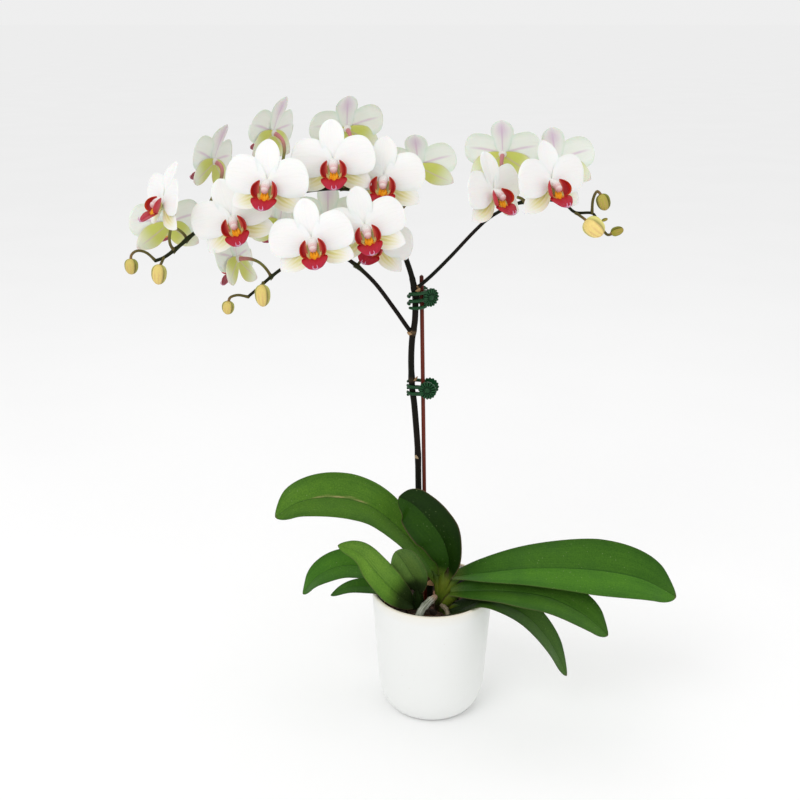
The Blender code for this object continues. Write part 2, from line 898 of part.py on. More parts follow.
CLIPS = {
    "lower": ((-6.0, 1.0, 335.3), -12.0, (-3.3, 3.3), (6.6, 0.0, -6.6)),
    "upper": ((-8.5, 3.4, 423.0), 39.0, (6.6, 0.0, -6.6), (3.3, -3.3)),
}
for which, (hinge, spin, front_z, back_z) in CLIPS.items():
    jaw(f"clip_{which}_front_jaw", hinge, spin, -1, front_z, ((4.7, 6.7), (-6.7, -4.7)), CLIP_LIFT)
    jaw(f"clip_{which}_back_jaw", hinge, spin, 1, back_z, ((1.7, 4.3), (-4.3, -1.7)), CLIP_LIFT)
    h = vec(*hinge)
    cylinder_z(f"clip_{which}_pin", h, PIN_R, h[2] - 7.2, h[2] + 7.2, 8, STEEL)
    spring(f"clip_{which}_spring", hinge, spin)


# ---------------------------------------------------------------- bark
def bark():
    """Chunky fill with a lumpy top, and sockets where stems, roots and stake go in."""
    rng = np.random.default_rng(7)
    sides = 20
    verts, faces = [], []
    radii = [
        (32.0, 8.0),
        (inner_r(14) - INNER_WALL - 0.6, 14.5),
        (inner_r(BARK_TOP_Z - 4) - INNER_WALL - 0.6, BARK_TOP_Z - 4),
        (42.0, BARK_TOP_Z),
        (28.0, BARK_TOP_Z),
        (14.0, BARK_TOP_Z),
    ]
    for k, (r, z) in enumerate(radii):
        for j in range(sides):
            a = 2 * math.pi * (j + 0.5 * (k % 2 if k > 2 else 0)) / sides
            dz = rng.uniform(-2.6, 2.6) if k > 2 else 0.0
            verts.append(vec(r * math.cos(a), r * math.sin(a), z + dz))
    for k in range(len(radii) - 1):
        for j in range(sides):
            n = (j + 1) % sides
            faces.append((k * sides + j, k * sides + n, (k + 1) * sides + n, (k + 1) * sides + j))
    verts += [vec(0, 0, 8.0), vec(0, 0, BARK_TOP_Z + 1)]
    last = (len(radii) - 1) * sides
    for j in range(sides):
        n = (j + 1) % sides
        faces.append((n, j, len(verts) - 2))
        faces.append((last + j, last + n, len(verts) - 1))
    body = build("bark", verts, faces, BARK, smooth=20)
    cutters = []

    def socket(path, radius, sides=8):
        cutters.append(build("socket", *tube(path, radius, sides), BARK))

    socket([vec(-1, 4, 91.2), vec(-2, 2.5, 119)], SPIKE_R + 0.9)
    socket([STAKE_BOTTOM - vec(0, 0, 0.8), STAKE_BOTTOM + (STAKE_TOP - STAKE_BOTTOM) * 0.26], STAKE_R + 0.55)
    socket([vec(9.6, -5.8, 97), vec(13, -7, 116), vec(13.4, -7.2, 121)], 10.4)
    socket([vec(-15, -3.9, 97), vec(-15, -5, 110), vec(-15, -5.4, 118)], 8.2)
    for points, radius in ROOTS.values():
        path = smooth_path(points, 8)
        socket([path[-1] - vec(0, 0, 1), *path[-3:][::-1], path[-4] + vec(0, 0, 2)], radius + 0.9)
    boolean(body, cutters, "DIFFERENCE")
    simplify(body, 0.75)


bark()
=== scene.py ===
"""Looks of the potted moth orchid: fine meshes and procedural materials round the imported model.

Frame: metres, +Z up, the flowers face -Y. Tables are in millimetres, as in the CAD source."""

import math

import bmesh
import bpy
import numpy as np
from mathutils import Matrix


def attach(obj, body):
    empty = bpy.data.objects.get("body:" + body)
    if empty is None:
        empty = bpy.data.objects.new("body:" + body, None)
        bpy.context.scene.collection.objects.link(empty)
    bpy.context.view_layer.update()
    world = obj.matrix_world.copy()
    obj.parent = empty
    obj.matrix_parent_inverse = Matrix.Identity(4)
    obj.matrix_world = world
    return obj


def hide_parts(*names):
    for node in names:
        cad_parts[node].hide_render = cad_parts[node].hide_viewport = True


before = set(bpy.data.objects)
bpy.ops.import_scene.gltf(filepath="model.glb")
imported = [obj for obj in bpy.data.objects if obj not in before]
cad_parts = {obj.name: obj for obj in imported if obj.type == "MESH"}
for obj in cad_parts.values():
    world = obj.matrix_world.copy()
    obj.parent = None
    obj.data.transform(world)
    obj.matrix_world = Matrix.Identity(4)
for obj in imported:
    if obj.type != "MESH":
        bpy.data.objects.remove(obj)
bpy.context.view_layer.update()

MM = 0.001
PLANT = "plant"
RNG = np.random.default_rng(11)

# ---------------------------------------------------------------- sizes, in millimetres
POT_HEIGHT, POT_RIM_R, POT_WALL, POT_FLOOR = 128.0, 60.0, 3.5, 5.0
POT_SHOULDER_R, POT_SHOULDER_Z, POT_BASE_R = 53.5, 34.0, 37.0
CULTURE_TOP_Z = 117.0
STAKE_R = 1.9
STAKE_BOTTOM, STAKE_TOP = (-4.3, 13.5, 20), (-12.6, -0.2, 443)
SPIKE_R = 3.0
CLIP_PAD_R, CLIP_PAD_T, CLIP_PAD_X, CLIP_PAD_Y = 8.7, 2.2, 1.2, 5.3
CLIP_PAD_ANGLE, CLIP_REACH, CLIP_LIFT = 4.0, 19.0, 1.1
KNUCKLE_R, PIN_R = 2.4, 0.9

MAIN = [
    (-1, 4, 92), (-2, 2.5, 118), (-3.5, 2, 150), (-9, 3, 190), (-12.2, 3.5, 210), (-14, 4, 231),
    (-15, 4.2, 272.5), (-18.4, 4, 318), (-20.6, 3.6, 336), (-21.6, 2.2, 363), (-20.8, 0, 385),
    (-18.4, -2.6, 403), (-18.1, -4.6, 423), (-19.3, -5.0, 434), (-21.0, -4.4, 442.5),
]
CENTRE = [
    (-21.2, -4.3, 443.3), (-23.2, -2.8, 450), (-28.4, 1.5, 465.5), (-32.9, 5, 489), (-42, 7, 507),
    (-60, 7, 516), (-80.6, 6, 521.6), (-111.4, 4, 520), (-140, 2, 514), (-170, 1, 505), (-195, 0, 494),
    (-213.5, 0, 483.6), (-230.4, 0, 470), (-243, 0, 461), (-251.5, 0, 457.6),
]
LEFT = [
    (-24.6, -2.2, 395.5), (-37.4, -5, 415), (-55.2, -12, 441), (-75.2, -18, 461), (-88, -20, 467),
    (-104, -21, 469), (-120, -20.5, 464.5), (-135.1, -20, 455.5), (-147, -19, 446.5),
    (-156, -18, 438.5), (-167.4, -18, 428.9),
]
RIGHT = [
    (-13.4, -6.2, 437), (-2, -7, 447.5), (14, -7, 464), (35.1, -7, 487), (50, -7.5, 500),
    (72.1, -8, 510.6), (94.4, -10, 513.6), (110, -12, 511.5), (121, -12, 503.2), (135.7, -12, 502.4),
    (141, -11, 495.5), (146.5, -11, 487),
]
# node, points, radii at the start and the end, and a first point inside the main stem
BRANCHES = {
    "C": ("spike_branch_centre", CENTRE, 2.6, 1.5, (-20.6, -4.5, 440.5)),
    "L": ("spike_branch_left", LEFT, 2.1, 1.3, (-20.4, -1.4, 390.5)),
    "R": ("spike_branch_right", RIGHT, 1.8, 1.1, (-18.6, -5.2, 432.5)),
}

# points: middle line; normals: the upper face's direction along it; half: half width; wide: where it
# is widest; base: share of the width at its start; colour: upper face; light: how much lighter its
# +side half is; margin: how strong its wine-coloured edge is
LEAVES = {
    "leaf_big_left": dict(
        points=[(3, -4, 138), (-9, -7, 163), (-31, -12, 196), (-60, -22, 226), (-92, -33, 240),
                (-124, -42, 240), (-147.5, -48, 227)],
        normals=[(0.45, -0.65, 0.5), (0.25, -0.62, 0.75), (-0.3, -0.5, 0.8)],
        half=24.5, wide=0.6, fold=0.22, colour=(0.066, 0.162, 0.015), light=0.05, margin=0.15,
    ),
    "leaf_centre": dict(
        points=[(14.5, -9, 146), (16, -13, 165), (9, -17, 190), (-4, -22, 212), (-19, -28, 231),
                (-33, -35, 242)],
        normals=[(-0.5, -0.8, 0.3), (-0.4, -0.8, 0.45), (-0.45, -0.72, 0.5)],
        half=23.5, wide=0.5, base=0.30, fold=0.28, colour=(0.0125, 0.044, 0.002), light=-0.36, margin=0.9,
    ),
    "leaf_big_right": dict(
        points=[(20, -9.5, 143), (48, -14, 150.5), (93, -27, 163), (149, -37, 167), (195, -45, 162),
                (230, -50, 145)],
        normals=[(-0.3, -0.1, 0.9), (0, -0.55, 0.83), (0.5, -0.5, 0.7)],
        half=30, wide=0.62, colour=(0.047, 0.145, 0.0115), light=0.17, margin=0.2,
    ),
    "leaf_low_right": dict(
        points=[(18, -17, 131), (43, -24, 136.5), (76, -39, 144), (109, -52, 145), (140, -65, 134.5),
                (163, -73, 117)],
        normals=[(-0.2, -0.4, 0.9), (0.12, -0.34, 0.93), (0.7, -0.45, 0.55)],
        half=26, wide=0.52, colour=(0.048, 0.132, 0.014), light=0.08, margin=0.45,
    ),
    "leaf_drooping": dict(
        points=[(15, -25, 111), (31, -30, 121), (47, -35, 131), (66, -42, 132), (90, -44, 120),
                (113, -43, 92), (132, -42, 53)],
        normals=[(0.0, -0.1, 0.95), (0.3, -0.3, 0.9), (0.8, -0.55, 0.2)],
        half=17, wide=0.62, base=0.60, colour=(0.050, 0.122, 0.016), light=0.05, margin=0.3,
    ),
    "leaf_twisted": dict(
        points=[(-22, -15, 117), (-29.5, -22, 127.5), (-41, -32.5, 144.5), (-56, -41, 168),
                (-70, -46, 188.5), (-90, -50, 199)],
        normals=[(-0.4, -0.5, 0.75), (0.3, -0.8, 0.5), (0.2, -0.5, 0.85)],
        half=15, wide=0.45, base=0.40, fold=0.25, colour=(0.128, 0.262, 0.034), light=-0.08, margin=0.6,
    ),
    "leaf_round": dict(
        points=[(-13, -11, 130), (-16, -16, 142), (-22.5, -22, 157), (-29.5, -27, 172), (-36.5, -31, 183)],
        normals=[(-0.5, -0.7, 0.4), (-0.35, -0.8, 0.45), (-0.3, -0.6, 0.7)],
        half=18.6, wide=0.5, fold=0.28, colour=(0.086, 0.162, 0.034), light=-0.12, margin=0.3,
    ),
    "leaf_back_left": dict(
        points=[(-24, 5, 118), (-40, 11, 128), (-63, 17, 139), (-89, 20, 141), (-114, 20, 130),
                (-131, 18, 110)],
        normals=[(-0.2, -0.2, 0.95), (-0.1, -0.4, 0.9), (-0.8, -0.35, 0.4)],
        half=19, wide=0.5, colour=(0.048, 0.152, 0.012), light=0.05, margin=0.3,
    ),
    "leaf_small": dict(
        points=[(-26, -6, 114), (-42, -10, 127), (-61, -15, 136), (-81, -18, 137), (-100, -19, 129)],
        normals=[(-0.2, -0.3, 0.9), (-0.1, -0.5, 0.85), (-0.4, -0.4, 0.8)],
        half=8.5, wide=0.45, colour=(0.036, 0.108, 0.011), light=0.0, margin=0.2,
    ),
}

# letter: branch, place on the branch 0-1, centre, yaw, pitch, roll, size
FLOWERS = {
    "a": ("C", 0.43, (-88, -32, 549), 0, 4, -3, 1.0),
    "b": ("C", 0.59, (-143, -46, 534), -8, 4, 3, 1.0),
    "c": ("C", 0.70, (-176, -28, 500.5), 0, 2, -19, 1.0),
    "d": ("L", 0.50, (-105, -67, 489), 0, 4, -10.5, 1.0),
    "e": ("L", 0.35, (-61, -50, 497), 5, 4, -12, 0.99),
    "f": ("C", 0.29, (-46, -21, 534), -4, 3, 1, 1.0),
    "g": ("C", 0.872, (-235.5, -24, 516), -58, 14, 0, 0.98),
    "p": ("R", 0.47, (47.6, -38, 525), 44, 13, -3, 0.98),
    "q": ("R", 0.62, (95.8, -37, 533), 33, 10, -3, 1.0),
    "i": ("C", 0.745, (-200.5, 34, 542), -112, 12, -10, 0.98),
    "j": ("C", 0.57, (-146.5, 37, 567), -118, 14, -5, 0.96),
    "k": ("C", 0.40, (-79.7, 36, 571), 200, 24, 7, 0.96),
    "l": ("C", 0.25, (-15.3, 33, 538.5), 176, 24, 6, 0.97),
    "n": ("R", 0.42, (59.2, 20, 550.5), 168, 22, 2, 0.96),
    "o": ("R", 0.60, (108.4, 31, 542.4), 173, 16, 9, 0.96),
    "m": ("L", 0.79, (-179.5, 2.5, 459), -106, -12, -8, 0.98),
    "r": ("L", 0.27, (-52, -10, 479), -20, 0, 20, 0.94),
    "s": ("L", 0.44, (-97, 20, 492), 176, -6, 0, 0.94),
    "t": ("L", 0.60, (-142, 22, 489), -140, -4, -20, 0.94),
    "u": ("C", 0.82, (-245, 28, 486.5), -150, 4, 0, 0.96),
}
# name: stalk points, bud centre, axis, length, radius, how yellow the bud is
BUDS = {
    "left_1": (
        [(-153.0, -20.2, 442.2), (-153.3, -23, 440)],
        (-153.6, -24, 431.5), (0.02, 0, -1), 20, 7.0, 0.75),
    "left_2": (
        [(-167.2, -18, 428.9), (-176, -18, 430.5), (-183, -18, 428.5), (-185, -18, 424)],
        (-185.7, -18, 419.0), (-0.1, 0, -1), 12.5, 5.6, 0.6),
    "centre_1": (
        [(-243.6, -0.6, 460.6), (-246.3, -3.2, 455)],
        (-248.4, -4, 446.0), (-0.12, 0, -1), 18.5, 7.0, 0.75),
    "centre_2": (
        [(-251.3, 0.2, 457.6), (-259, 1, 464.6), (-267, 1, 466.6), (-272.6, 0.5, 463), (-273.6, 0, 457)],
        (-273.6, 0, 452.4), (-0.05, 0, -1), 14.5, 6.2, 0.5),
    "right_1": (
        [(121.6, -12.6, 502.6), (125.5, -17, 500.4), (129, -19.5, 498)],
        (136.8, -20.5, 491.4), (0.75, -0.05, -0.6), 20, 9.0, 1.0),
    "right_2": (
        [(135.7, -12, 502.6), (135.9, -12, 514), (139, -12, 521.3), (143.1, -12, 517.8)],
        (145.2, -12, 512), (0.35, 0, -0.95), 15, 6.1, 0.15),
    "right_3": (
        [(146.4, -11, 487.2), (150.5, -11.5, 483.4), (154.2, -12, 484.2)],
        (158.8, -12, 486.6), (0.9, 0, 0.3), 11.5, 4.2, 0.0),
    "right_4": (
        [(141.4, -11, 495.2), (144.6, -10.8, 495.6)],
        (147.6, -10.5, 496.4), (0.9, 0, 0.3), 5.5, 1.5, 0.0),
}
# hinge, turn about Z, heights of the front and the back half's fingers from the hinge
CLIPS = {
    "lower": ((-6.0, 1.0, 335.3), -12.0, (-3.3, 3.3), (6.6, 0.0, -6.6)),
    "upper": ((-8.5, 3.4, 423.0), 39.0, (6.6, 0.0, -6.6), (3.3, -3.3)),
}
# points, radius, colour, and colour of the end on the shoot
ROOTS = {
    "root_front": ([(2, -19, 127), (-5, -27, 125), (-12, -35, 120), (-15, -39, 109), (-14, -38, 100)],
                   3.8, (0.46, 0.47, 0.40), (0.50, 0.32, 0.22)),
    "root_right": ([(9, -19, 118), (13, -26, 118), (15, -33, 113), (15, -34, 100)],
                   2.4, (0.30, 0.24, 0.16), (0.42, 0.31, 0.20)),
    "root_left": ([(-24, -2, 111), (-33, 4, 112), (-40, 6, 106), (-41, 6, 98)],
                  2.2, (0.33, 0.33, 0.27), (0.30, 0.20, 0.13)),
}


# ---------------------------------------------------------------- vectors and curves
def vec(*a):
    return np.array(a, float)


def unit(v):
    return v / np.linalg.norm(v)


def smooth_path(points, count):
    """Catmull-Rom curve through the points, sampled evenly by parameter."""
    p = np.array(points, float)
    ext = np.vstack([2 * p[0] - p[1], p, 2 * p[-1] - p[-2]])
    u = np.linspace(0, len(p) - 1, count)
    i = np.minimum(u.astype(int), len(p) - 2)
    t = (u - i)[:, None]
    a, b, c, d = (ext[i + k] for k in range(4))
    return 0.5 * (
        2 * b + (c - a) * t + (2 * a - 5 * b + 4 * c - d) * t**2 + (3 * b - a - 3 * c + d) * t**3
    )


def tangents(path):
    t = np.gradient(path, axis=0)
    return t / np.linalg.norm(t, axis=1)[:, None]


def cross_axes(path, hint):
    """Side and outward unit vectors square to the path, the outward ones as near the hint as can be."""
    tan, hint = tangents(path), vec(*hint)
    out = np.array([unit(hint - k * (hint @ k)) for k in tan])
    return np.cross(tan, out), out


def rotation(about_z, about_x=0.0, about_y=0.0):
    """Turns about Y first, then X, then Z, in degrees."""
    z, x, y = (math.radians(v) for v in (about_z, about_x, about_y))
    rz = np.array([[math.cos(z), -math.sin(z), 0], [math.sin(z), math.cos(z), 0], [0, 0, 1]])
    rx = np.array([[1, 0, 0], [0, math.cos(x), -math.sin(x)], [0, math.sin(x), math.cos(x)]])
    ry = np.array([[math.cos(y), 0, math.sin(y)], [0, 1, 0], [-math.sin(y), 0, math.cos(y)]])
    return rz @ rx @ ry


def mix(a, b, share):
    """Blend of two colours by an array of shares."""
    share = np.clip(np.asarray(share, float), 0, 1)[..., None]
    return np.asarray(a, float) * (1 - share) + np.asarray(b, float) * share


def rise(x, low, high):
    """Smooth step from 0 at low to 1 at high."""
    t = np.clip((np.asarray(x, float) - low) / (high - low), 0, 1)
    return t * t * (3 - 2 * t)


def bell(x, centre, width):
    return np.exp(-(((np.asarray(x, float) - centre) / width) ** 2))


def ring_angles(count):
    return np.arange(count) * 2 * math.pi / count


# ---------------------------------------------------------------- mesh building
class Shape:
    """Collects closed shells into one mesh, with a colour and a place on each point."""

    def __init__(self):
        self.verts, self.faces, self.tint, self.place, self.size = [], [], [], [], 0

    def add(self, verts, faces, tint, along=0.0, across=0.0):
        verts = np.asarray(verts, float)
        n = len(verts)
        self.verts.append(verts)
        self.faces += [tuple(int(i) + self.size for i in face) for face in faces]
        self.tint.append(np.broadcast_to(np.asarray(tint, float), (n, 3)))
        place = np.zeros((n, 3))
        place[:, 0], place[:, 1] = along, across
        self.place.append(place)
        self.size += n
        return self

    def turned(self, matrix, shift, size=1.0):
        self.verts = [v @ (matrix.T * size) + shift for v in self.verts]
        return self

    def build(self, name, mat, node, slot, sharp, body=PLANT):
        """Makes the piece; edges sharper than the angle sharp stay crisp."""
        verts = np.vstack(self.verts) * MM
        mesh = bpy.data.meshes.new(name)
        mesh.from_pydata(verts.tolist(), [], self.faces)
        mesh.validate()
        work = bmesh.new()
        work.from_mesh(mesh)
        bmesh.ops.recalc_face_normals(work, faces=work.faces)
        work.to_mesh(mesh)
        work.free()
        rgba = np.ones((self.size, 4))
        rgba[:, :3] = np.vstack(self.tint)
        tint = mesh.color_attributes.new("tint", "FLOAT_COLOR", "POINT")
        tint.data.foreach_set("color", rgba.ravel())
        place = mesh.attributes.new("place", "FLOAT_VECTOR", "POINT")
        place.data.foreach_set("vector", np.vstack(self.place).ravel())
        mesh.materials.append(mat)
        mesh.shade_smooth()
        mesh.set_sharp_from_angle(angle=math.radians(sharp))
        obj = bpy.data.objects.new(name, mesh)
        bpy.context.scene.collection.objects.link(obj)
        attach(obj, body)
        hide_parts(node)


def grid_faces(rows, cols, wrap=False):
    faces = []
    for i in range(rows - 1):
        for j in range(cols if wrap else cols - 1):
            k = (j + 1) % cols
            a, b = i * cols, (i + 1) * cols
            faces.append((a + j, a + k, b + k, b + j))
    return faces


def closed_faces(rows, sides):
    """Faces of a stack of rings, with a flat face over each end."""
    last = (rows - 1) * sides
    return grid_faces(rows, sides, wrap=True) + [
        tuple(range(sides))[::-1],
        tuple(range(last, last + sides)),
    ]


def grid_normals(grid):
    n = np.cross(np.gradient(grid, axis=0), np.gradient(grid, axis=1))
    length = np.linalg.norm(n, axis=2)[..., None]
    return n / np.maximum(length, 1e-9)


def grid_places(rows, cols):
    """Shares along, 0 to 1, and across, -1 to 1, at each point of a blade's grid."""
    return np.meshgrid(np.linspace(0, 1, rows), np.linspace(-1, 1, cols), indexing="ij")


def sweep(mid, side, up, across, lift):
    """A grid of points round a middle line. side and up are one vector or one for each row."""
    side, up = (np.atleast_2d(v)[:, None] for v in (side, up))
    return mid[:, None] + side * across[..., None] + up * lift[..., None]


def add_blade(shape, grid, thick, tint_front, tint_back, along, across):
    """A thin closed blade round a grid of points. thick is its full thickness."""
    rows, cols = grid.shape[:2]
    offset = grid_normals(grid) * np.broadcast_to(thick / 2, (rows, cols))[..., None]
    front, back = grid + offset, grid - offset
    verts = np.vstack([front.reshape(-1, 3), back.reshape(-1, 3)])
    half = rows * cols
    faces = grid_faces(rows, cols)
    faces += [tuple(half + i for i in f[::-1]) for f in grid_faces(rows, cols)]
    rim = [(i, 0) for i in range(rows)] + [(rows - 1, j) for j in range(1, cols)]
    rim += [(i, cols - 1) for i in range(rows - 2, -1, -1)] + [(0, j) for j in range(cols - 2, 0, -1)]
    ids = [i * cols + j for i, j in rim]
    for a, b in zip(ids, ids[1:] + ids[:1]):
        faces.append((a, b, half + b, half + a))
    tint = np.vstack([np.broadcast_to(t, (rows, cols, 3)).reshape(-1, 3) for t in (tint_front, tint_back)])
    shape.add(verts, faces, tint, np.tile(along.ravel(), 2), np.tile(across.ravel(), 2))


def add_faced(shape, grid, thick, tint, under, facing, along, across):
    """A blade with its tint on the face that looks along facing, whichever way the grid runs."""
    if (grid_normals(grid) @ vec(*facing)).mean() <= 0:
        tint, under = under, tint
    add_blade(shape, grid, thick, tint, under, along, across)


def add_tube(shape, path, radii, sides, tint, flat=1.0, cap=3, start=(0.31, 0.95, 0.05)):
    """A round-ended tube. tint is one colour or one for each point of the path."""
    path = np.array(path, float)
    n = len(path)
    radii = np.broadcast_to(np.asarray(radii, float), n)
    tan = tangents(path)
    tint = np.broadcast_to(np.asarray(tint, float), (n, 3))

    def end(k, sign, place, angles):
        # the ends are drawn in over a quarter circle
        r = radii[k]
        return [(path[k] + sign * tan[k] * r * math.sin(a), tan[k], r * math.cos(a), tint[k], place)
                for a in angles]

    rows = end(0, -1, 0.0, np.linspace(1.45, 0.4, cap))
    rows += list(zip(path, tan, radii, tint, np.linspace(0, 1, n)))
    rows += end(-1, 1, 1.0, np.linspace(0.4, 1.45, cap))
    ref = unit(np.cross(tan[0], vec(*start)))
    angles = ring_angles(sides)
    verts, tints, places = [], [], []
    for p, t, r, colour, place in rows:
        ref = unit(ref - t * (ref @ t))
        other = np.cross(t, ref)
        verts.append(p + r * (np.cos(angles)[:, None] * ref + flat * np.sin(angles)[:, None] * other))
        tints.append(np.tile(colour, (sides, 1)))
        places.append(np.full(sides, place))
    across = np.tile(angles / math.pi - 1, len(rows))
    faces = closed_faces(len(rows), sides)
    return shape.add(np.vstack(verts), faces, np.vstack(tints), np.concatenate(places), across)


def add_lathe(shape, profile, steps, tint):
    """Turns a closed profile of (radius, z) about Z. tint is one colour or one for each point."""
    profile = np.array(profile, float)
    n = len(profile)
    a = ring_angles(steps)
    radius, z = profile.T
    verts = np.stack([np.outer(np.cos(a), radius), np.outer(np.sin(a), radius), np.tile(z, (steps, 1))], 2)
    faces = []
    for i in range(steps):
        k = (i + 1) % steps
        for j in range(n):
            m = (j + 1) % n
            faces.append((i * n + j, i * n + m, k * n + m, k * n + j))
    tints = np.tile(np.broadcast_to(np.asarray(tint, float), (n, 3)), (steps, 1))
    along, across = np.tile(z / POT_HEIGHT, steps), np.repeat(a / math.pi - 1, n)
    return shape.add(verts.reshape(-1, 3), faces, tints, along, across)


SEAM_TURN = math.radians(25)


def add_egg(shape, centre, axis, length, radius, tint_at, sides, rows, blunt, seams=0, depth=0.0,
            sharp=2.1, tip=0.5):
    """An ovoid along axis. tint_at(t, angle) gives the colour; seams are shallow lengthwise grooves."""
    axis = unit(vec(*axis))
    side = unit(np.cross(axis, vec(0.2, 0.9, 0.3)))
    up = np.cross(axis, side)
    t = 0.5 - 0.5 * np.cos(np.linspace(0.08, math.pi - 0.05, rows))
    a = ring_angles(sides)
    s = np.where(t < blunt, t / blunt - 1, (t - blunt) / (1 - blunt))
    r = radius * np.maximum(0.0, 1 - np.abs(s) ** sharp) ** np.where(s > 0, tip, 0.5)
    share = np.mod((a - SEAM_TURN) * seams / (2 * math.pi) + 0.5, 1)
    groove = 1 - depth * bell(share, 0.5, 0.125)
    ring = np.cos(a)[:, None] * side + np.sin(a)[:, None] * up
    centre = vec(*centre)
    verts = [centre + axis * length * (t[i] - 0.5) + (r[i] * groove)[:, None] * ring for i in range(rows)]
    tt, aa = (grid.ravel() for grid in np.meshgrid(t, a, indexing="ij"))
    shape.add(np.vstack(verts), closed_faces(rows, sides), tint_at(tt, aa), tt, aa / math.pi - 1)


# ---------------------------------------------------------------- materials
class Nodes:
    """Short names for building one material's node tree."""

    def __init__(self, name, roughness, **shader_values):
        self.mat = bpy.data.materials.new(name)
        self.mat.use_nodes = True
        self.tree = self.mat.node_tree
        self.shader = self.tree.nodes["Principled BSDF"]
        self.set(self.shader, Roughness=roughness, **shader_values)

    def set(self, node, **values):
        for key, value in values.items():
            node.inputs[key.replace("_", " ")].default_value = value

    def new(self, kind, **settings):
        node = self.tree.nodes.new(kind)
        for key, value in settings.items():
            setattr(node, key, value)
        return node

    def link(self, out, into):
        self.tree.links.new(out, into)

    def attribute(self, name, output="Color"):
        return self.new("ShaderNodeAttribute", attribute_name=name).outputs[output]

    def scaled(self, source, stretch):
        node = self.new("ShaderNodeVectorMath", operation="MULTIPLY")
        self.link(source, node.inputs[0])
        node.inputs[1].default_value = stretch
        return node.outputs[0]

    def coords(self, stretch=(1, 1, 1)):
        return self.scaled(self.new("ShaderNodeTexCoord").outputs["Object"], stretch)

    def noise(self, source, scale, detail=3.0, roughness=0.5, distortion=0.0):
        node = self.new("ShaderNodeTexNoise")
        self.link(source, node.inputs["Vector"])
        self.set(node, Scale=scale, Detail=detail, Roughness=roughness, Distortion=distortion)
        return node.outputs["Fac"]

    def lines(self, along, across, detail, roughness, distortion=0.0):
        """Noise drawn out along a blade or a stem, from its place attribute."""
        place = self.scaled(self.attribute("place", "Vector"), (along, across, 1))
        return self.noise(place, 1.0, detail, roughness, distortion)

    def ramp(self, source, low, high, to_low=0.0, to_high=1.0):
        node = self.new("ShaderNodeMapRange", interpolation_type="SMOOTHSTEP")
        self.link(source, node.inputs["Value"])
        for key, value in (("From Min", low), ("From Max", high), ("To Min", to_low), ("To Max", to_high)):
            node.inputs[key].default_value = value
        return node.outputs["Result"]

    def math(self, operation, a, b):
        node = self.new("ShaderNodeMath", operation=operation)
        for socket, value in zip(node.inputs, (a, b)):
            self.fill(socket, value)
        return node.outputs[0]

    def fill(self, socket, value):
        """Gives a socket a number, a colour or a link."""
        if isinstance(value, (int, float)):
            socket.default_value = value
        elif isinstance(value, tuple):
            socket.default_value = (*value, 1.0)
        else:
            self.link(value, socket)

    def blend(self, factor, a, b, mode="MIX"):
        node = self.new("ShaderNodeMix", data_type="RGBA", blend_type=mode)
        for socket, value in ((node.inputs[0], factor), (node.inputs[6], a), (node.inputs[7], b)):
            self.fill(socket, value)
        return node.outputs[2]

    def stain(self, under, colour, source, low, high, to_low, to_high):
        """Multiplies the colour under by another one, by a share that follows the source."""
        return self.blend(self.ramp(source, low, high, to_low, to_high), under, colour, "MULTIPLY")

    def bump(self, height, strength, distance, under=None):
        node = self.new("ShaderNodeBump")
        self.set(node, Strength=strength, Distance=distance)
        self.link(height, node.inputs["Height"])
        if under is not None:
            self.link(under, node.inputs["Normal"])
        return node.outputs["Normal"]

    def finish(self, colour, roughness=None, normal=None):
        for name, value in (("Base Color", colour), ("Roughness", roughness), ("Normal", normal)):
            if value is not None:
                self.link(value, self.shader.inputs[name])
        return self.mat


def petal_material():
    n = Nodes("petal", 0.5, Subsurface_Weight=0.12, Subsurface_Scale=0.0015)
    veins = n.lines(1.6, 26, 2.0, 0.55)
    mottle = n.noise(n.coords(), 900, 3)
    darker = n.math("MULTIPLY", n.ramp(veins, 0.30, 0.50, 1.0, 0.0), 0.10)
    colour = n.blend(darker, n.attribute("tint"), (0.56, 0.62, 0.50), "MULTIPLY")
    colour = n.stain(colour, (0.80, 0.82, 0.80), mottle, 0.35, 0.7, 0.05, 0.0)
    normal = n.bump(n.ramp(veins, 0.38, 0.60), 0.16, 0.00025)
    normal = n.bump(mottle, 0.10, 0.00012, normal)
    return n.finish(colour, n.ramp(mottle, 0.3, 0.7, 0.46, 0.56), normal)


def lip_material():
    n = Nodes("lip", 0.42, Specular_IOR_Level=0.25)
    veins = n.lines(2.0, 18, 2.0, 0.55)
    grain = n.noise(n.coords(), 1300, 3)
    colour = n.stain(n.attribute("tint"), (0.45, 0.30, 0.34), veins, 0.35, 0.62, 0.45, 0.0)
    colour = n.stain(colour, (1.35, 1.2, 1.1), grain, 0.45, 0.75, 0.0, 0.25)
    normal = n.bump(veins, 0.3, 0.0003)
    normal = n.bump(grain, 0.2, 0.00015, normal)
    return n.finish(colour, n.ramp(grain, 0.3, 0.7, 0.36, 0.5), normal)


def flesh_material(name, roughness, streaks, bumpy, coat=0.0, mottle=0.3):
    """Stems, stalks, columns and buds: the tint with fine lengthwise streaks."""
    n = Nodes(name, roughness, Coat_Weight=coat, Coat_Roughness=0.3, Specular_IOR_Level=0.08)
    lines = n.lines(9, 14, 4, 0.6)
    grain = n.noise(n.coords((1, 1, 0.35)), 950, 4, 0.6)
    colour = n.stain(n.attribute("tint"), (0.45, 0.38, 0.30), lines, 0.35, 0.65, streaks, 0.0)
    colour = n.stain(colour, (1.5, 1.45, 1.3), grain, 0.5, 0.8, 0.0, mottle)
    rough = n.ramp(grain, 0.3, 0.7, roughness - 0.07, roughness + 0.10)
    return n.finish(colour, rough, n.bump(grain, bumpy, 0.0003))


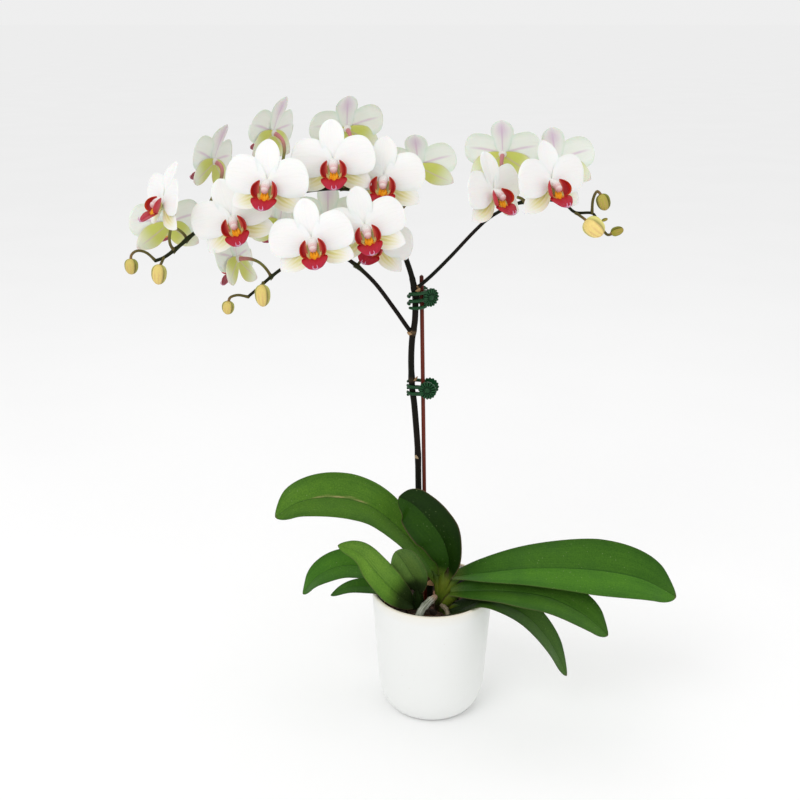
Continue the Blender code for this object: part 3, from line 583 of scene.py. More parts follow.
def leaf_material():
    n = Nodes("leaf", 0.45, Specular_IOR_Level=0.10)
    fibres = n.lines(2.4, 42, 5, 0.7)
    cloud = n.noise(n.coords(), 32, 4, 0.55)
    grain = n.noise(n.coords(), 820, 3, 0.6)
    pores = n.noise(n.coords(), 1700, 2)
    fleck = n.new("ShaderNodeTexVoronoi")
    n.link(n.coords(), fleck.inputs["Vector"])
    n.set(fleck, Scale=230.0, Randomness=1.0)
    colour = n.stain(n.attribute("tint"), (0.60, 0.74, 0.50), fibres, 0.34, 0.58, 0.60, 0.0)
    colour = n.stain(colour, (1.45, 1.28, 1.25), fibres, 0.54, 0.68, 0.0, 0.50)
    colour = n.stain(colour, (1.30, 1.20, 1.05), cloud, 0.42, 0.62, 0.0, 0.35)
    colour = n.stain(colour, (0.66, 0.76, 0.66), cloud, 0.34, 0.50, 0.35, 0.0)
    colour = n.stain(colour, (0.60, 0.70, 0.62), grain, 0.35, 0.50, 0.55, 0.0)
    colour = n.stain(colour, (1.45, 1.32, 1.25), grain, 0.52, 0.68, 0.0, 0.55)
    flecks = n.ramp(fleck.outputs["Distance"], 0.05, 0.14, 1.0, 0.0)
    dust = n.math("MULTIPLY", flecks, n.ramp(cloud, 0.42, 0.58, 0.0, 0.50))
    colour = n.blend(dust, colour, (0.26, 0.34, 0.15))
    normal = n.bump(fibres, 0.16, 0.0005)
    normal = n.bump(pores, 0.14, 0.0002, normal)
    rough = n.math("ADD", n.ramp(cloud, 0.35, 0.65, 0.38, 0.52), n.math("MULTIPLY", dust, 0.3))
    return n.finish(colour, rough, normal)


def ceramic_material():
    n = Nodes("ceramic", 0.3, Specular_IOR_Level=0.4)
    speck = n.noise(n.coords(), 620, 2, 0.5)
    return n.finish(n.blend(n.ramp(speck, 0.715, 0.76, 0.0, 0.5), n.attribute("tint"), (0.66, 0.62, 0.55)))


def bark_material():
    n = Nodes("bark", 0.88)
    fibre = n.noise(n.coords((1, 1, 3)), 190, 6, 0.65, 0.6)
    grain = n.noise(n.coords(), 900, 4, 0.6)
    tint = n.attribute("tint")
    colour = n.blend(n.ramp(fibre, 0.35, 0.65), n.blend(0.6, tint, (0.35, 0.28, 0.22), "MULTIPLY"), tint)
    colour = n.stain(colour, (1.8, 1.6, 1.4), grain, 0.5, 0.75, 0.0, 0.35)
    normal = n.bump(fibre, 0.8, 0.0012)
    normal = n.bump(grain, 0.4, 0.0004, normal)
    return n.finish(colour, n.ramp(grain, 0.3, 0.7, 0.8, 0.95), normal)


def root_material():
    n = Nodes("root", 0.72)
    streak = n.lines(3, 9, 4, 0.65, 0.4)
    grain = n.noise(n.coords(), 1200, 4, 0.6)
    colour = n.stain(n.attribute("tint"), (0.28, 0.31, 0.22), streak, 0.40, 0.58, 0.95, 0.0)
    colour = n.stain(colour, (1.4, 1.4, 1.35), grain, 0.52, 0.72, 0.0, 0.5)
    normal = n.bump(streak, 0.4, 0.0006)
    normal = n.bump(grain, 0.5, 0.0003, normal)
    return n.finish(colour, n.ramp(grain, 0.3, 0.7, 0.6, 0.85), normal)


def stake_material():
    n = Nodes("stake", 0.36, Specular_IOR_Level=0.12)
    grain = n.lines(26, 16, 5, 0.65)
    fine = n.noise(n.coords((1, 1, 0.06)), 1500, 4, 0.6)
    colour = n.stain(n.attribute("tint"), (0.48, 0.36, 0.32), grain, 0.38, 0.66, 0.65, 0.0)
    colour = n.stain(colour, (1.5, 1.25, 1.15), fine, 0.5, 0.75, 0.0, 0.4)
    return n.finish(colour, n.ramp(fine, 0.3, 0.7, 0.32, 0.48), n.bump(fine, 0.3, 0.0003))


def plastic_material(name, colour, roughness, wear):
    """Moulded plastic with a faint texture, paler where it is rubbed."""
    n = Nodes(name, roughness, Specular_IOR_Level=0.2)
    grain = n.noise(n.coords(), 2200, 3)
    cloud = n.noise(n.coords(), 210, 3)
    worn = tuple(min(1.0, c * 1.9 + 0.015) for c in colour)
    tinted = n.blend(n.ramp(cloud, 0.45, 0.68, 0.0, wear), colour, worn)
    # the tint attribute carries the clip pads' painted shadow and painted highlight
    tinted = n.blend(1.0, tinted, n.attribute("tint"), "MULTIPLY")
    rough = n.ramp(cloud, 0.35, 0.65, roughness - 0.06, roughness + 0.1)
    return n.finish(tinted, rough, n.bump(grain, 0.2, 0.00012))


def steel_material():
    n = Nodes("steel", 0.28, Metallic=1.0)
    grain = n.noise(n.coords((1, 1, 6)), 900, 3)
    colour = n.blend(n.ramp(grain, 0.35, 0.7), (0.42, 0.42, 0.41), (0.62, 0.62, 0.60))
    return n.finish(colour, n.ramp(grain, 0.3, 0.7, 0.22, 0.38), n.bump(grain, 0.15, 0.0001))


PETAL, LIP, LEAF, CERAMIC = petal_material(), lip_material(), leaf_material(), ceramic_material()
BARK, ROOT, STAKE, STEEL = bark_material(), root_material(), stake_material(), steel_material()
SPIKE = flesh_material("spike", 0.46, 0.5, 0.35)
STALK = flesh_material("stalk", 0.45, 0.3, 0.12, mottle=0.1)
BUD = flesh_material("bud", 0.46, 0.10, 0.05, mottle=0.04)
SHOOT = flesh_material("shoot", 0.42, 0.3, 0.2, 0.05)
CLIP = plastic_material("clip", (0.006, 0.050, 0.015), 0.34, 0.2)
CULTURE = plastic_material("culture_plastic", (0.018, 0.018, 0.017), 0.34, 0.2)


# ---------------------------------------------------------------- pot and bark
def wall_radius(z, inset=0.0):
    """Outer radius of the pot at height z, less an inset."""
    if z >= POT_SHOULDER_Z:
        share = (z - POT_SHOULDER_Z) / (POT_HEIGHT - POT_SHOULDER_Z)
        return POT_SHOULDER_R + (POT_RIM_R - POT_SHOULDER_R) * share - inset
    share = 1 - z / POT_SHOULDER_Z
    return POT_BASE_R + (POT_SHOULDER_R - POT_BASE_R) * math.sqrt(max(0, 1 - share**2)) - inset


def make_pot():
    white, cream, tan = (0.845, 0.855, 0.84), (0.82, 0.77, 0.66), (0.58, 0.42, 0.28)
    rim_r = POT_WALL / 2
    rim_z = POT_HEIGHT - rim_r
    mid_z = 48
    floor = [(0, POT_FLOOR)]
    floor += [(wall_radius(z, POT_WALL) * s, z) for z, s in ((5.0, 0.55), (5.4, 0.85), (7.5, 0.97))]
    inner_z = [*np.linspace(11, POT_SHOULDER_Z, 8), *np.linspace(mid_z, rim_z, 7)]
    inner = floor + [(wall_radius(z, POT_WALL), z) for z in inner_z]
    rim = [
        (wall_radius(rim_z) - rim_r + rim_r * math.cos(a), rim_z + rim_r * math.sin(a))
        for a in np.linspace(math.pi, 0, 10)[1:-1]
    ]
    outer_z = [*np.linspace(rim_z, mid_z, 9), *(POT_SHOULDER_Z * (1 - np.sin(np.linspace(0, 1.5, 14))))]
    outer = [(wall_radius(z), z) for z in outer_z]
    foot = [(POT_BASE_R - inset, z) for inset, z in ((0.6, 0.25), (1.4, 0.0), (5, 0.0), (6, 0.8))]
    profile = np.array(inner + rim + outer + foot + [(0, 0.9)])
    r, z = profile.T
    tints = mix(white, cream, bell(z, POT_HEIGHT - 0.3, 1.6))
    # the glaze thins on the rim's inner edge, where the clay shows tan
    edge = bell(np.hypot(r - (POT_RIM_R - POT_WALL + 0.3), z - POT_HEIGHT + 0.7), 0, 1.0)
    tints = mix(tints, tan, edge * 0.85)
    tints = mix(tints, (0.75, 0.68, 0.58), (z < 0.5) * 0.7)
    # painted shade: the pot's inner wall is mixed towards grey
    tints[: len(inner)] = mix(tints[: len(inner)], (0.52, 0.52, 0.50), 0.6)
    add_lathe(Shape(), profile, 120, tints).build("pot_body", CERAMIC, "pot", "ceramic", 50)


def make_culture_pot():
    def inner_r(z):
        return 40.0 + (z - 6) * (51.5 - 40.0) / (CULTURE_TOP_Z - 6)

    top, wall = CULTURE_TOP_Z, 1.2
    top_r = inner_r(top)
    profile = [
        (top_r + 1.6, top), (top_r + 1.8, top - 0.4), (top_r + 1.8, top - 1.8), (top_r + 1.4, top - 2.2),
        (top_r + 0.1, top - 2.5), (inner_r(60), 60), (inner_r(12), 12), (33.5, 5.6), (0, 5.6), (0, 6.8),
        (33.0, 6.8), (inner_r(12) - wall, 12.6), (inner_r(60) - wall, 60), (top_r - wall, top - 0.4),
        (top_r - wall + 0.4, top),
    ]
    wall_shape = add_lathe(Shape(), profile, 72, (1.0, 1.0, 1.0))
    wall_shape.build("culture_pot_wall", CULTURE, "culture_pot", "culture_plastic", 40)


def add_chip(shape, centre, size, tint):
    """One lump of bark: a skewed, rounded block with broken edges."""
    sides, rows = 9, 5
    a = ring_angles(sides)
    outline = (1 + 0.28 * RNG.uniform(-1, 1, sides))[:, None] * np.stack([np.cos(a), np.sin(a)], 1)
    verts = []
    for h in np.linspace(-1, 1, rows):
        r = (0.72 + 0.28 * (1 - h**4)) * (1 + 0.10 * RNG.uniform(-1, 1, sides))
        height = h + 0.12 * RNG.uniform(-1, 1, sides)
        verts.append(np.column_stack([outline * r[:, None], height]) * size)
    rot = rotation(RNG.uniform(0, 360), RNG.uniform(-28, 28), RNG.uniform(-28, 28))
    shape.add(np.vstack(verts) @ rot.T + centre, closed_faces(rows, sides), tint)


def make_bark():
    fill = Shape()
    profile = [(0, 8), (31, 8), (38.5, 14), (48.0, 101), (47.0, 104.0), (0, 104.5)]
    # the fill under the chips is near-black: painted shade in the gaps between them
    add_lathe(fill, profile, 48, (0.030, 0.017, 0.011))
    chips, spread_r, edge_r, golden_angle = 190, 47.0, 48.5, 2.39996
    for k in range(chips):
        r = spread_r * math.sqrt((k + 0.5) / chips)
        a = k * golden_angle
        size = vec(RNG.uniform(3.5, 7.5), RNG.uniform(2.5, 5.0), RNG.uniform(1.6, 3.2))
        centre = vec(r * math.cos(a), r * math.sin(a), RNG.uniform(104.0, 108.2))
        if r + size[0] > edge_r:
            centre[:2] *= (edge_r - size[0]) / r
        tone = RNG.uniform(0.5, 1.5)
        tint = mix((0.040, 0.021, 0.013), (0.16, 0.075, 0.035), RNG.uniform(0, 1) ** 2.5) * tone
        add_chip(fill, centre, size, tint)
    # two pale chips where the bark broke
    add_chip(fill, vec(6, 14, 112), vec(7, 4, 3), (0.42, 0.22, 0.12))
    add_chip(fill, vec(-17, -30, 109), vec(3.4, 2.2, 1.6), (0.30, 0.15, 0.06))
    # the dry husk that stands at the left inside the rim
    husk = smooth_path([(-46.5, -22, 108), (-47.5, -23.5, 118), (-47.0, -24.0, 126)], 8)
    add_tube(fill, husk, np.linspace(1.3, 0.5, 8), 7, (0.36, 0.24, 0.10), flat=0.35)
    fill.build("bark_chips", BARK, "bark", "bark", 38)


# ---------------------------------------------------------------- stems and stake
NODE_TAN = (0.42, 0.27, 0.14)
STEM_DARK, STEM_GREEN, STEM_PURPLE = (0.007, 0.008, 0.005), (0.030, 0.040, 0.010), (0.010, 0.007, 0.005)


def add_bract(shape, at, direction, up, length, width, tint):
    """A dry triangular scale that hugs the stem."""
    direction, up = unit(vec(*direction)), unit(vec(*up))
    side = np.cross(direction, up)
    tt, ss = grid_places(9, 7)
    t, s = tt[..., None], ss[..., None]
    w = width * (1 - t**2) ** 0.6 + 0.1
    lift = 0.2 + 0.9 * t**1.6 * (length / 6)
    grid = vec(*at) + direction * (lift - 0.9 * s**2 * (1 - t)) + up * length * t + side * w * s
    # the face towards the stem is a darker copy of the tint: painted shade
    add_blade(shape, grid, 0.5, tint, np.multiply(tint, 0.7), tt, ss)


def stem_tint(z, green_share, shift):
    base = mix(STEM_DARK, STEM_PURPLE, 0.5 + 0.5 * np.sin(z * 0.05 + shift))
    return mix(base, STEM_GREEN, 0.35 * green_share)


def make_main_stem():
    stem, count = Shape(), 110
    path = smooth_path(MAIN, count)
    z = path[:, 2]
    radii = np.linspace(SPIKE_R + 0.1, SPIKE_R - 0.2, count)
    # the stem thickens at each node, and swells below each branch
    nodes_z = (141, 266, 346, 392, 433)
    tint = stem_tint(z, rise(z, 150, 100), 0.0)
    for node_z in nodes_z:
        radii = radii + 0.45 * bell(z, node_z, 3.2)
    for node_z in nodes_z[:3]:
        tint = mix(tint, NODE_TAN, 0.75 * bell(z, node_z, 0.7))
    tint = mix(tint, NODE_TAN, 0.8 * bell(z, nodes_z[3] - 0.5, 0.9))
    tint = mix(tint, (0.30, 0.13, 0.08), 0.6 * bell(z, nodes_z[0], 5))
    add_tube(stem, path, radii, 16, tint)
    for at, direction, up, length, width, colour in (
        ((-17.6, 1.0, 344), (0.8, -0.5, 0), (0.25, 0, 1), 4.6, 2.2, NODE_TAN),
        ((-16.4, 1.7, 265.5), (-0.6, -0.75, 0), (0, 0, 1), 3.6, 2.0, (0.45, 0.34, 0.22)),
        ((-2.2, -0.6, 130), (0.15, -1, 0), (0.25, 0, 1), 7.5, 3.8, (0.85, 0.50, 0.29)),
        ((-22.5, -3.6, 389.5), (-0.6, -0.75, 0), (-0.6, 0, 0.8), 4.0, 2.0, NODE_TAN),
        ((-16.4, -8.0, 431), (0.5, -0.8, 0), (0.5, 0, 0.9), 4.0, 2.0, NODE_TAN),
    ):
        add_bract(stem, at, direction, up, length, width, colour)
    stem.build("spike_main_stem", SPIKE, "spike_main", "spike", 60)


def make_branch(key, node, points, r0, r1, inside):
    branch, count = Shape(), 120
    path = smooth_path([inside, *points], count)
    u = np.linspace(0, 1, count)
    radii = np.linspace(r0, r1, count)
    tint = stem_tint(path[:, 2] + path[:, 0], rise(u, 0.25, 0.9), 1.0)
    starts = sorted(spec[1] for spec in FLOWERS.values() if spec[0] == key)
    shares = [(place * (len(points) - 1) + 1) / len(points) for place in starts]
    # each flower stalk leaves at a node, where the stem is thicker and greener
    for share in shares:
        radii = radii + 0.55 * bell(u, share, 0.012)
        tint = mix(tint, STEM_GREEN, 0.5 * bell(u, share, 0.02))
    ring = 0.30 if key == "C" else 0.055
    tint = mix(tint, NODE_TAN, 0.85 * bell(u, ring, 0.006))
    radii = radii + 0.5 * bell(u, ring, 0.012)
    add_tube(branch, path, radii, 14, tint)
    for share in shares:
        i = int(round(share * (count - 1)))
        tan = tangents(path)[i]
        down = unit(np.cross(np.cross(tan, vec(0, 0, 1)), tan))
        add_bract(branch, path[i] - down * radii[i] * 0.9, -down, tan, 2.9, 1.5, (0.11, 0.10, 0.035))
    branch.build(f"{node}_stem", SPIKE, node, "spike", 60)


def make_stake():
    path = np.linspace(STAKE_BOTTOM, STAKE_TOP, 60)
    tint = mix((0.150, 0.027, 0.015), (0.075, 0.022, 0.015), rise(path[:, 2], 436, 443) * 0.7)
    add_tube(Shape(), path, STAKE_R, 20, tint, cap=2).build("stake_rod", STAKE, "stake", "stake", 50)


# ---------------------------------------------------------------- shoots and roots
GREEN, LIME, WINE = (0.058, 0.118, 0.008), (0.125, 0.165, 0.014), (0.032, 0.015, 0.009)


def make_main_shoot():
    shape = Shape()
    path = smooth_path([(10, -6, 98), (11, -8, 116), (11, -10, 130), (11, -10, 143), (14, -9, 152)], 30)
    u = np.linspace(0, 1, 30)
    radii = np.interp(u, [0, 0.25, 0.5, 0.75, 1], [8.5, 8.5, 6.4, 4.9, 2.2])
    tint = mix(mix(WINE, GREEN, rise(u, 0.1, 0.45)), LIME, bell(u, 0.62, 0.2))
    add_tube(shape, path, radii, 24, tint, flat=0.8)
    # each leaf base clasps the shoot and runs up into its blade, with a wine-red edge
    sheaths = (
        ([(12, -15, 104), (17, -18, 112), (22, -21.5, 118), (28, -25, 121)],
         6.0, 4.6, (0.5, -0.85, 0.2), (0.020, 0.048, 0.008)),
        ([(11, -15, 108), (14, -17, 119), (20, -18, 127), (30, -18, 132)],
         7.2, 5.4, (0.35, -0.85, 0.4), (0.045, 0.105, 0.013)),
        ([(9, -12, 114), (6.5, -11, 128), (4.5, -9, 140), (0, -8, 150)],
         5.0, 4.4, (-0.2, -0.95, 0.2), (0.038, 0.078, 0.009)),
        ([(10, -13, 112), (12.5, -13.5, 128), (19, -12, 139), (31, -10.5, 145)],
         5.8, 5.0, (0.0, -0.95, 0.35), (0.045, 0.105, 0.013)),
        ([(10, -13, 120), (11, -13, 135), (14, -12.5, 146), (15, -12.5, 156)],
         5.4, 5.2, (-0.25, -0.95, 0.2), (0.030, 0.020, 0.007)),
    )
    tt, ss = grid_places(24, 17)
    for points, half_low, half_top, out, top in sheaths:
        mid = smooth_path(points, 24)
        w = (half_low + (half_top - half_low) * tt) * (1 - 0.85 * rise(tt, 0.62, 1.0))
        across, lift = w * 0.9 * np.sin(ss * 1.25), w * 0.55 * (np.cos(ss * 1.25) - 0.6)
        thick = 1.7 * (1 - 0.7 * ss**2) * (1 - 0.5 * tt)
        tint = mix(GREEN, LIME, 0.9 * bell(tt, 0.5, 0.3))
        tint = mix(tint, WINE, 0.75 * rise(tt, 0.25, 0.0))
        tint = mix(tint, WINE, rise(np.abs(ss), 0.60, 0.95) * 0.9)
        tint = mix(tint, top, rise(tt, 0.50, 0.92))
        grid = sweep(mid, *cross_axes(mid, out), across, lift)
        # the inner face, towards the shoot, is a darker copy of the tint: painted shade
        add_blade(shape, grid, thick, tint * 0.6, tint, tt, ss)
    shape.build("crown_main_shoot", SHOOT, "crown_main", "shoot", 60)


def make_side_shoot():
    shape = Shape()
    path = smooth_path([(-15, -4, 98), (-15, -5, 110), (-14.5, -6, 120), (-14, -7, 129)], 24)
    u = np.linspace(0, 1, 24)
    radii = np.interp(u, [0, 0.4, 0.75, 1], [6.5, 6.8, 5, 2.4])
    add_tube(shape, path, radii, 20, mix(WINE, (0.018, 0.040, 0.008), rise(u, 0.1, 0.6)), flat=0.8)
    tt, ss = grid_places(12, 9)
    for low, high, half, bow in (
        ((-17, -9, 106), (-24, -14, 121), 5.2, -1.2),
        ((-14, -10, 110), (-14, -11, 130), 5.0, 1.2),
        ((-19, -3, 106), (-26, 4, 119), 5.0, -1.2),
    ):
        mid = smooth_path([low, np.add(low, high) / 2 + vec(bow, -1, 0), high], 12)
        w = half * (1 - 0.3 * tt)
        grid = sweep(mid, *cross_axes(mid, (0, -1, 0.1)), w * ss, 0.8 - w * 0.8 * ss**2)
        tint = mix((0.018, 0.038, 0.008), WINE, rise(np.abs(ss), 0.7, 0.97) * 0.8)
        # the inner face, towards the shoot, is a darker copy of the tint: painted shade
        add_blade(shape, grid, 1.3 * (1 - 0.75 * ss**2), tint * 0.6, tint, tt, ss)
    shape.build("crown_side_shoot", SHOOT, "crown_side", "shoot", 60)


def make_root(name, points, radius, colour, start_colour):
    u = np.linspace(0, 1, 34)
    wobble = 1 + 0.06 * np.sin(u * 31 + len(name)) + 0.05 * np.sin(u * 57)
    radii = radius * wobble * np.interp(u, [0, 0.15, 0.8, 1], [0.8, 1, 1, 0.85])
    tint = mix(start_colour, colour, rise(u, 0.02, 0.22))
    strand = add_tube(Shape(), smooth_path(points, 34), radii, 16, tint)
    strand.build(f"{name}_strand", ROOT, name, "root", 60)


# ---------------------------------------------------------------- leaves
def leaf_width(t, wide, base):
    """Share of the full half width at t along the leaf, from the share it starts with."""
    low = base + (1 - base) * (1 - (np.clip((wide - t) / wide, 0, 1)) ** 1.25) ** 1.1
    high = (1 - np.clip((t - wide) / (1 - wide), 0, 1) ** 2.3) ** 0.62
    return np.where(t < wide, low, np.maximum(0.02, high))


def leaf_tints(name, tt, ss, green, light, margin, lime_base):
    """Colours of the upper face and the underside."""
    wine = (0.105, 0.072, 0.042)
    from_rib = np.abs(ss)
    tint = mix(green, green * (0.80, 0.85, 0.82), rise(from_rib, 0.55, 0.95))
    tint = mix(tint, green * (1.12, 1.09, 1.05), 0.7 * bell(from_rib, 0.42, 0.26))
    # painted shade: darker towards the base; the tip end is also a little darker
    tint = mix(tint, green * (0.62, 0.70, 0.65), 0.8 * rise(tt, 0.34, 0.10) + 0.3 * rise(tt, 0.82, 1.0))
    # one half turns a little more to the light than the other
    tint = tint * (1 + light * (2 * rise(ss, -0.05, 0.05) - 1))[..., None]
    # painted shade: a dark line in the sunk midrib's crease
    tint = mix(tint, green * (0.42, 0.52, 0.5), 0.9 * bell(ss, 0, 0.022) * rise(tt, 0.0, 0.1))
    if lime_base:
        tint = mix(tint, (0.085, 0.135, 0.016), rise(tt, 0.12, 0.02) * 0.8)
    else:
        # leaves that start low get painted shade where they go down into the pot
        tint = mix(tint, (0.014, 0.024, 0.008), rise(tt, 0.46, 0.24) * 0.9)
    tint = mix(tint, wine, rise(from_rib, 0.955, 0.99) * margin)
    if name == "leaf_big_left":
        # a dry scar beside the midrib
        scar = bell(ss, 0.10 - 0.06 * tt - 0.012 * np.sin(tt * 60), 0.022)
        tint = mix(tint, (0.46, 0.36, 0.17), scar * rise(tt, 0.50, 0.55) * rise(tt, 0.80, 0.70))
    tint = mix(tint, (0.10, 0.06, 0.03), rise(tt, 0.985, 1.0) * 0.7)
    under = mix(green * (1.25, 1.15, 1.3) + 0.012, wine, rise(from_rib, 0.94, 0.99) * 0.6)
    return tint, mix(under, green * 0.8, 0.6 * bell(ss, 0, 0.03))


def make_leaf(name, points, normals, half, wide, colour, light, margin, base=0.22, fold=0.2):
    rows, cols, fine = 64, 33, 400
    # rows crowd towards the tip, where the outline turns fast, and columns towards the margins
    t = 1 - (1 - np.linspace(0, 1, rows)) ** 1.5
    path = smooth_path(points, fine)
    tan = tangents(path)
    up = smooth_path(normals, fine)
    up -= tan * (up * tan).sum(1)[:, None]
    up /= np.linalg.norm(up, axis=1)[:, None]
    u = np.linspace(0, 1, fine)
    path, tan, up = (np.stack([np.interp(t, u, v[:, k]) for k in range(3)], 1) for v in (path, tan, up))
    s = np.linspace(-1, 1, cols)
    s = np.sign(s) * (0.35 * np.abs(s) + 0.65 * np.sin(np.abs(s) * math.pi / 2) ** 1.5)
    tt, ss = np.meshgrid(t, s, indexing="ij")
    w = half * leaf_width(tt, wide, base)
    trough = fold * (1 + 1.2 * (1 - tt) ** 2) * np.clip(9 * (1 - tt), 0, 1)
    # a rounded trough, a sunk midrib line and a faint wave along the margin
    lift = w * trough * np.abs(ss) ** 1.25 - 0.8 * bell(ss, 0, 0.05) * (1 - 0.5 * tt)
    lift += 0.35 * np.sin(tt * 17 + np.sign(ss) * 1.3 + half) * ss**2 * np.sin(tt * math.pi)
    thick = (0.9 + 2.2 * (1 - tt) ** 3) * (1 - 0.72 * ss**4) + 0.5 * bell(ss, 0, 0.09)
    thick *= np.clip(12 * (1 - tt) + 0.25, 0, 1)
    x, _, z = points[0]
    tint, under = leaf_tints(name, tt, ss, np.array(colour), light, margin, x > 0 and z > 125)
    shape = Shape()
    add_blade(shape, sweep(path, np.cross(tan, up), up, w * ss, lift), thick, under, tint, tt + len(name), ss)
    shape.build(f"{name}_blade", LEAF, name, "leaf", 70)


# ---------------------------------------------------------------- flowers
WHITE = (0.89, 0.885, 0.875)
# greyish white: painted shade along the tepals' edges
PAINTED_EDGE_SHADE = (0.83, 0.85, 0.82)
BACK_GREEN = (0.86, 0.90, 0.84)
YELLOW_GREEN = (0.74, 0.68, 0.17)
BACK_LIME = (0.60, 0.64, 0.13)
VIOLET = (0.62, 0.40, 0.60)
CRIMSON, CRIMSON_DARK = (0.46, 0.012, 0.012), (0.29, 0.004, 0.006)
ORANGE_RED = (0.64, 0.085, 0.010)
# columns: right, up and face of a flower that looks towards -Y
FACING = np.array([[1, 0, 0], [0, 0, -1], [0, 1, 0]])

# outline: where it is widest, share of the width at the base, and three powers of its curves;
# chance: how far degrees, cup, bend and phase vary from flower to flower
TEPALS = {
    "dorsal": dict(
        root=(0, 0.6, -0.8), degrees=90, length=34.5, half=10.6, outline=(0.62, 0.34, 1.8, 2.0, 0.60),
        cup=1.8, bend=-4.5, ripple=0.5, skew=0.0, phase=0.0, chance=(2, 0.7, 1.5, 3)),
    "lateral": dict(
        root=(0.6, -1.2, -1.6), degrees=-33, length=36.0, half=11.2, outline=(0.50, 0.34, 1.7, 1.8, 0.72),
        cup=1.8, bend=-2.0, ripple=0.6, skew=-0.10, phase=0.0, chance=(2, 0.6, 1.2, 3)),
    "petal": dict(
        root=(0.4, 0.0, 0.4), degrees=10.5, length=35.5, half=16.3, outline=(0.56, 0.13, 2.3, 3.1, 0.50),
        cup=-1.6, bend=1.0, ripple=1.0, skew=0.16, phase=0.0, chance=(2, 0.8, 1.5, 3)),
}


def oval(t, wide, base, low_power, high_power, tip_power):
    low = base + (1 - base) * (1 - np.clip((wide - t) / wide, 0, 1) ** low_power) ** 0.85
    high = (1 - np.clip((t - wide) / (1 - wide), 0, 1) ** high_power) ** tip_power
    return np.where(t < wide, low, np.maximum(0.015, high))


def tepal_grid(root, degrees, length, half, outline, cup, bend, ripple, skew, phase):
    """A tepal in the flower's own frame: +Z faces forward, degrees turn from +X towards +Y."""
    axis, side, forward = rotation(degrees).T
    tt, ss = grid_places(26, 19)
    # rows crowd towards the tip
    tt = 1 - (1 - tt) ** 1.6
    w = half * oval(tt, *outline)
    z = cup * ss**2 * np.sin(tt * math.pi) + bend * tt**2
    z += ripple * np.sin(tt * 6 + ss * 2.2 + phase) * ss**2 * tt
    z -= 0.35 * bell(ss, 0, 0.10) * (1 - tt)
    lateral = w * ss + skew * half * np.sin(tt * math.pi) * 0.5
    grid = vec(*root) + axis * (length * tt)[..., None] + side * lateral[..., None]
    return grid + forward * z[..., None], tt, ss


def add_tepal(shape, kind, mirror, rng):
    spec = dict(TEPALS[kind])
    for key, reach in zip(("degrees", "cup", "bend", "phase"), spec.pop("chance")):
        spec[key] += reach * rng.uniform(-1, 1)
    grid, tt, ss = tepal_grid(**spec)
    if mirror:
        grid = grid * (-1, 1, 1)
    from_rib = np.abs(ss)
    # painted shade along the front face's edges
    front = mix(WHITE, PAINTED_EDGE_SHADE, rise(from_rib, 0.75, 1.0) * 0.6)
    back = mix(BACK_GREEN, (0.66, 0.79, 0.66), rise(from_rib, 0.6, 1.0) * 0.6)
    rib = bell(ss, 0, 0.05) * rise(tt, 0.02, 0.12) * rise(tt, 0.98, 0.55)
    if kind == "dorsal":
        back = mix(back, (0.70, 0.55, 0.70), bell(ss, 0, 0.6) * (0.18 + 0.62 * bell(tt, 0.72, 0.26)))
        back = mix(back, VIOLET, 0.6 * rib)
        front = mix(front, (0.80, 0.76, 0.79), 0.35 * bell(ss, 0, 0.3) * rise(tt, 0.7, 1.0))
    elif kind == "petal":
        back = mix(back, VIOLET, 0.6 * rib)
        back = mix(back, (0.74, 0.70, 0.50), rise(tt, 0.15, 0.0) * 0.5)
    else:
        streak = 0.5 + 0.5 * np.sin(ss * 21 + 2 * np.sin(tt * 5))
        glow = rise(tt, 1.0, 0.45) * bell(ss, -0.2, 0.75)
        front = mix(front, YELLOW_GREEN, glow * (0.55 + 0.45 * streak))
        front = mix(front, (0.50, 0.47, 0.12), 0.6 * rise(tt, 0.8, 0.35) * streak * bell(ss, -0.15, 0.4))
        back = mix(BACK_LIME, BACK_GREEN, rise(tt, 0.35, 0.95) * 0.80)
        back = mix(back, (0.70, 0.55, 0.60), rise(from_rib, 0.86, 1.0) * 0.35 + 0.6 * rise(tt, 0.9, 1.0))
        back = mix(back, VIOLET, 0.5 * rib)
    front = mix(front, (0.78, 0.76, 0.62), rise(tt, 0.10, 0.0) * 0.5)
    thick = 0.75 * (1 - 0.7 * ss**4) * np.clip(9 * (1 - tt) + 0.3, 0, 1)
    add_faced(shape, grid, thick, front, back, (0, 0, 1), tt, ss)


def flower_tepals(rng):
    """Sepals and petals; a little chance makes each flower its own."""
    shape = Shape()
    add_tepal(shape, "dorsal", False, rng)
    for mirror in (False, True):
        add_tepal(shape, "lateral", mirror, rng)
        add_tepal(shape, "petal", mirror, rng)
    return shape


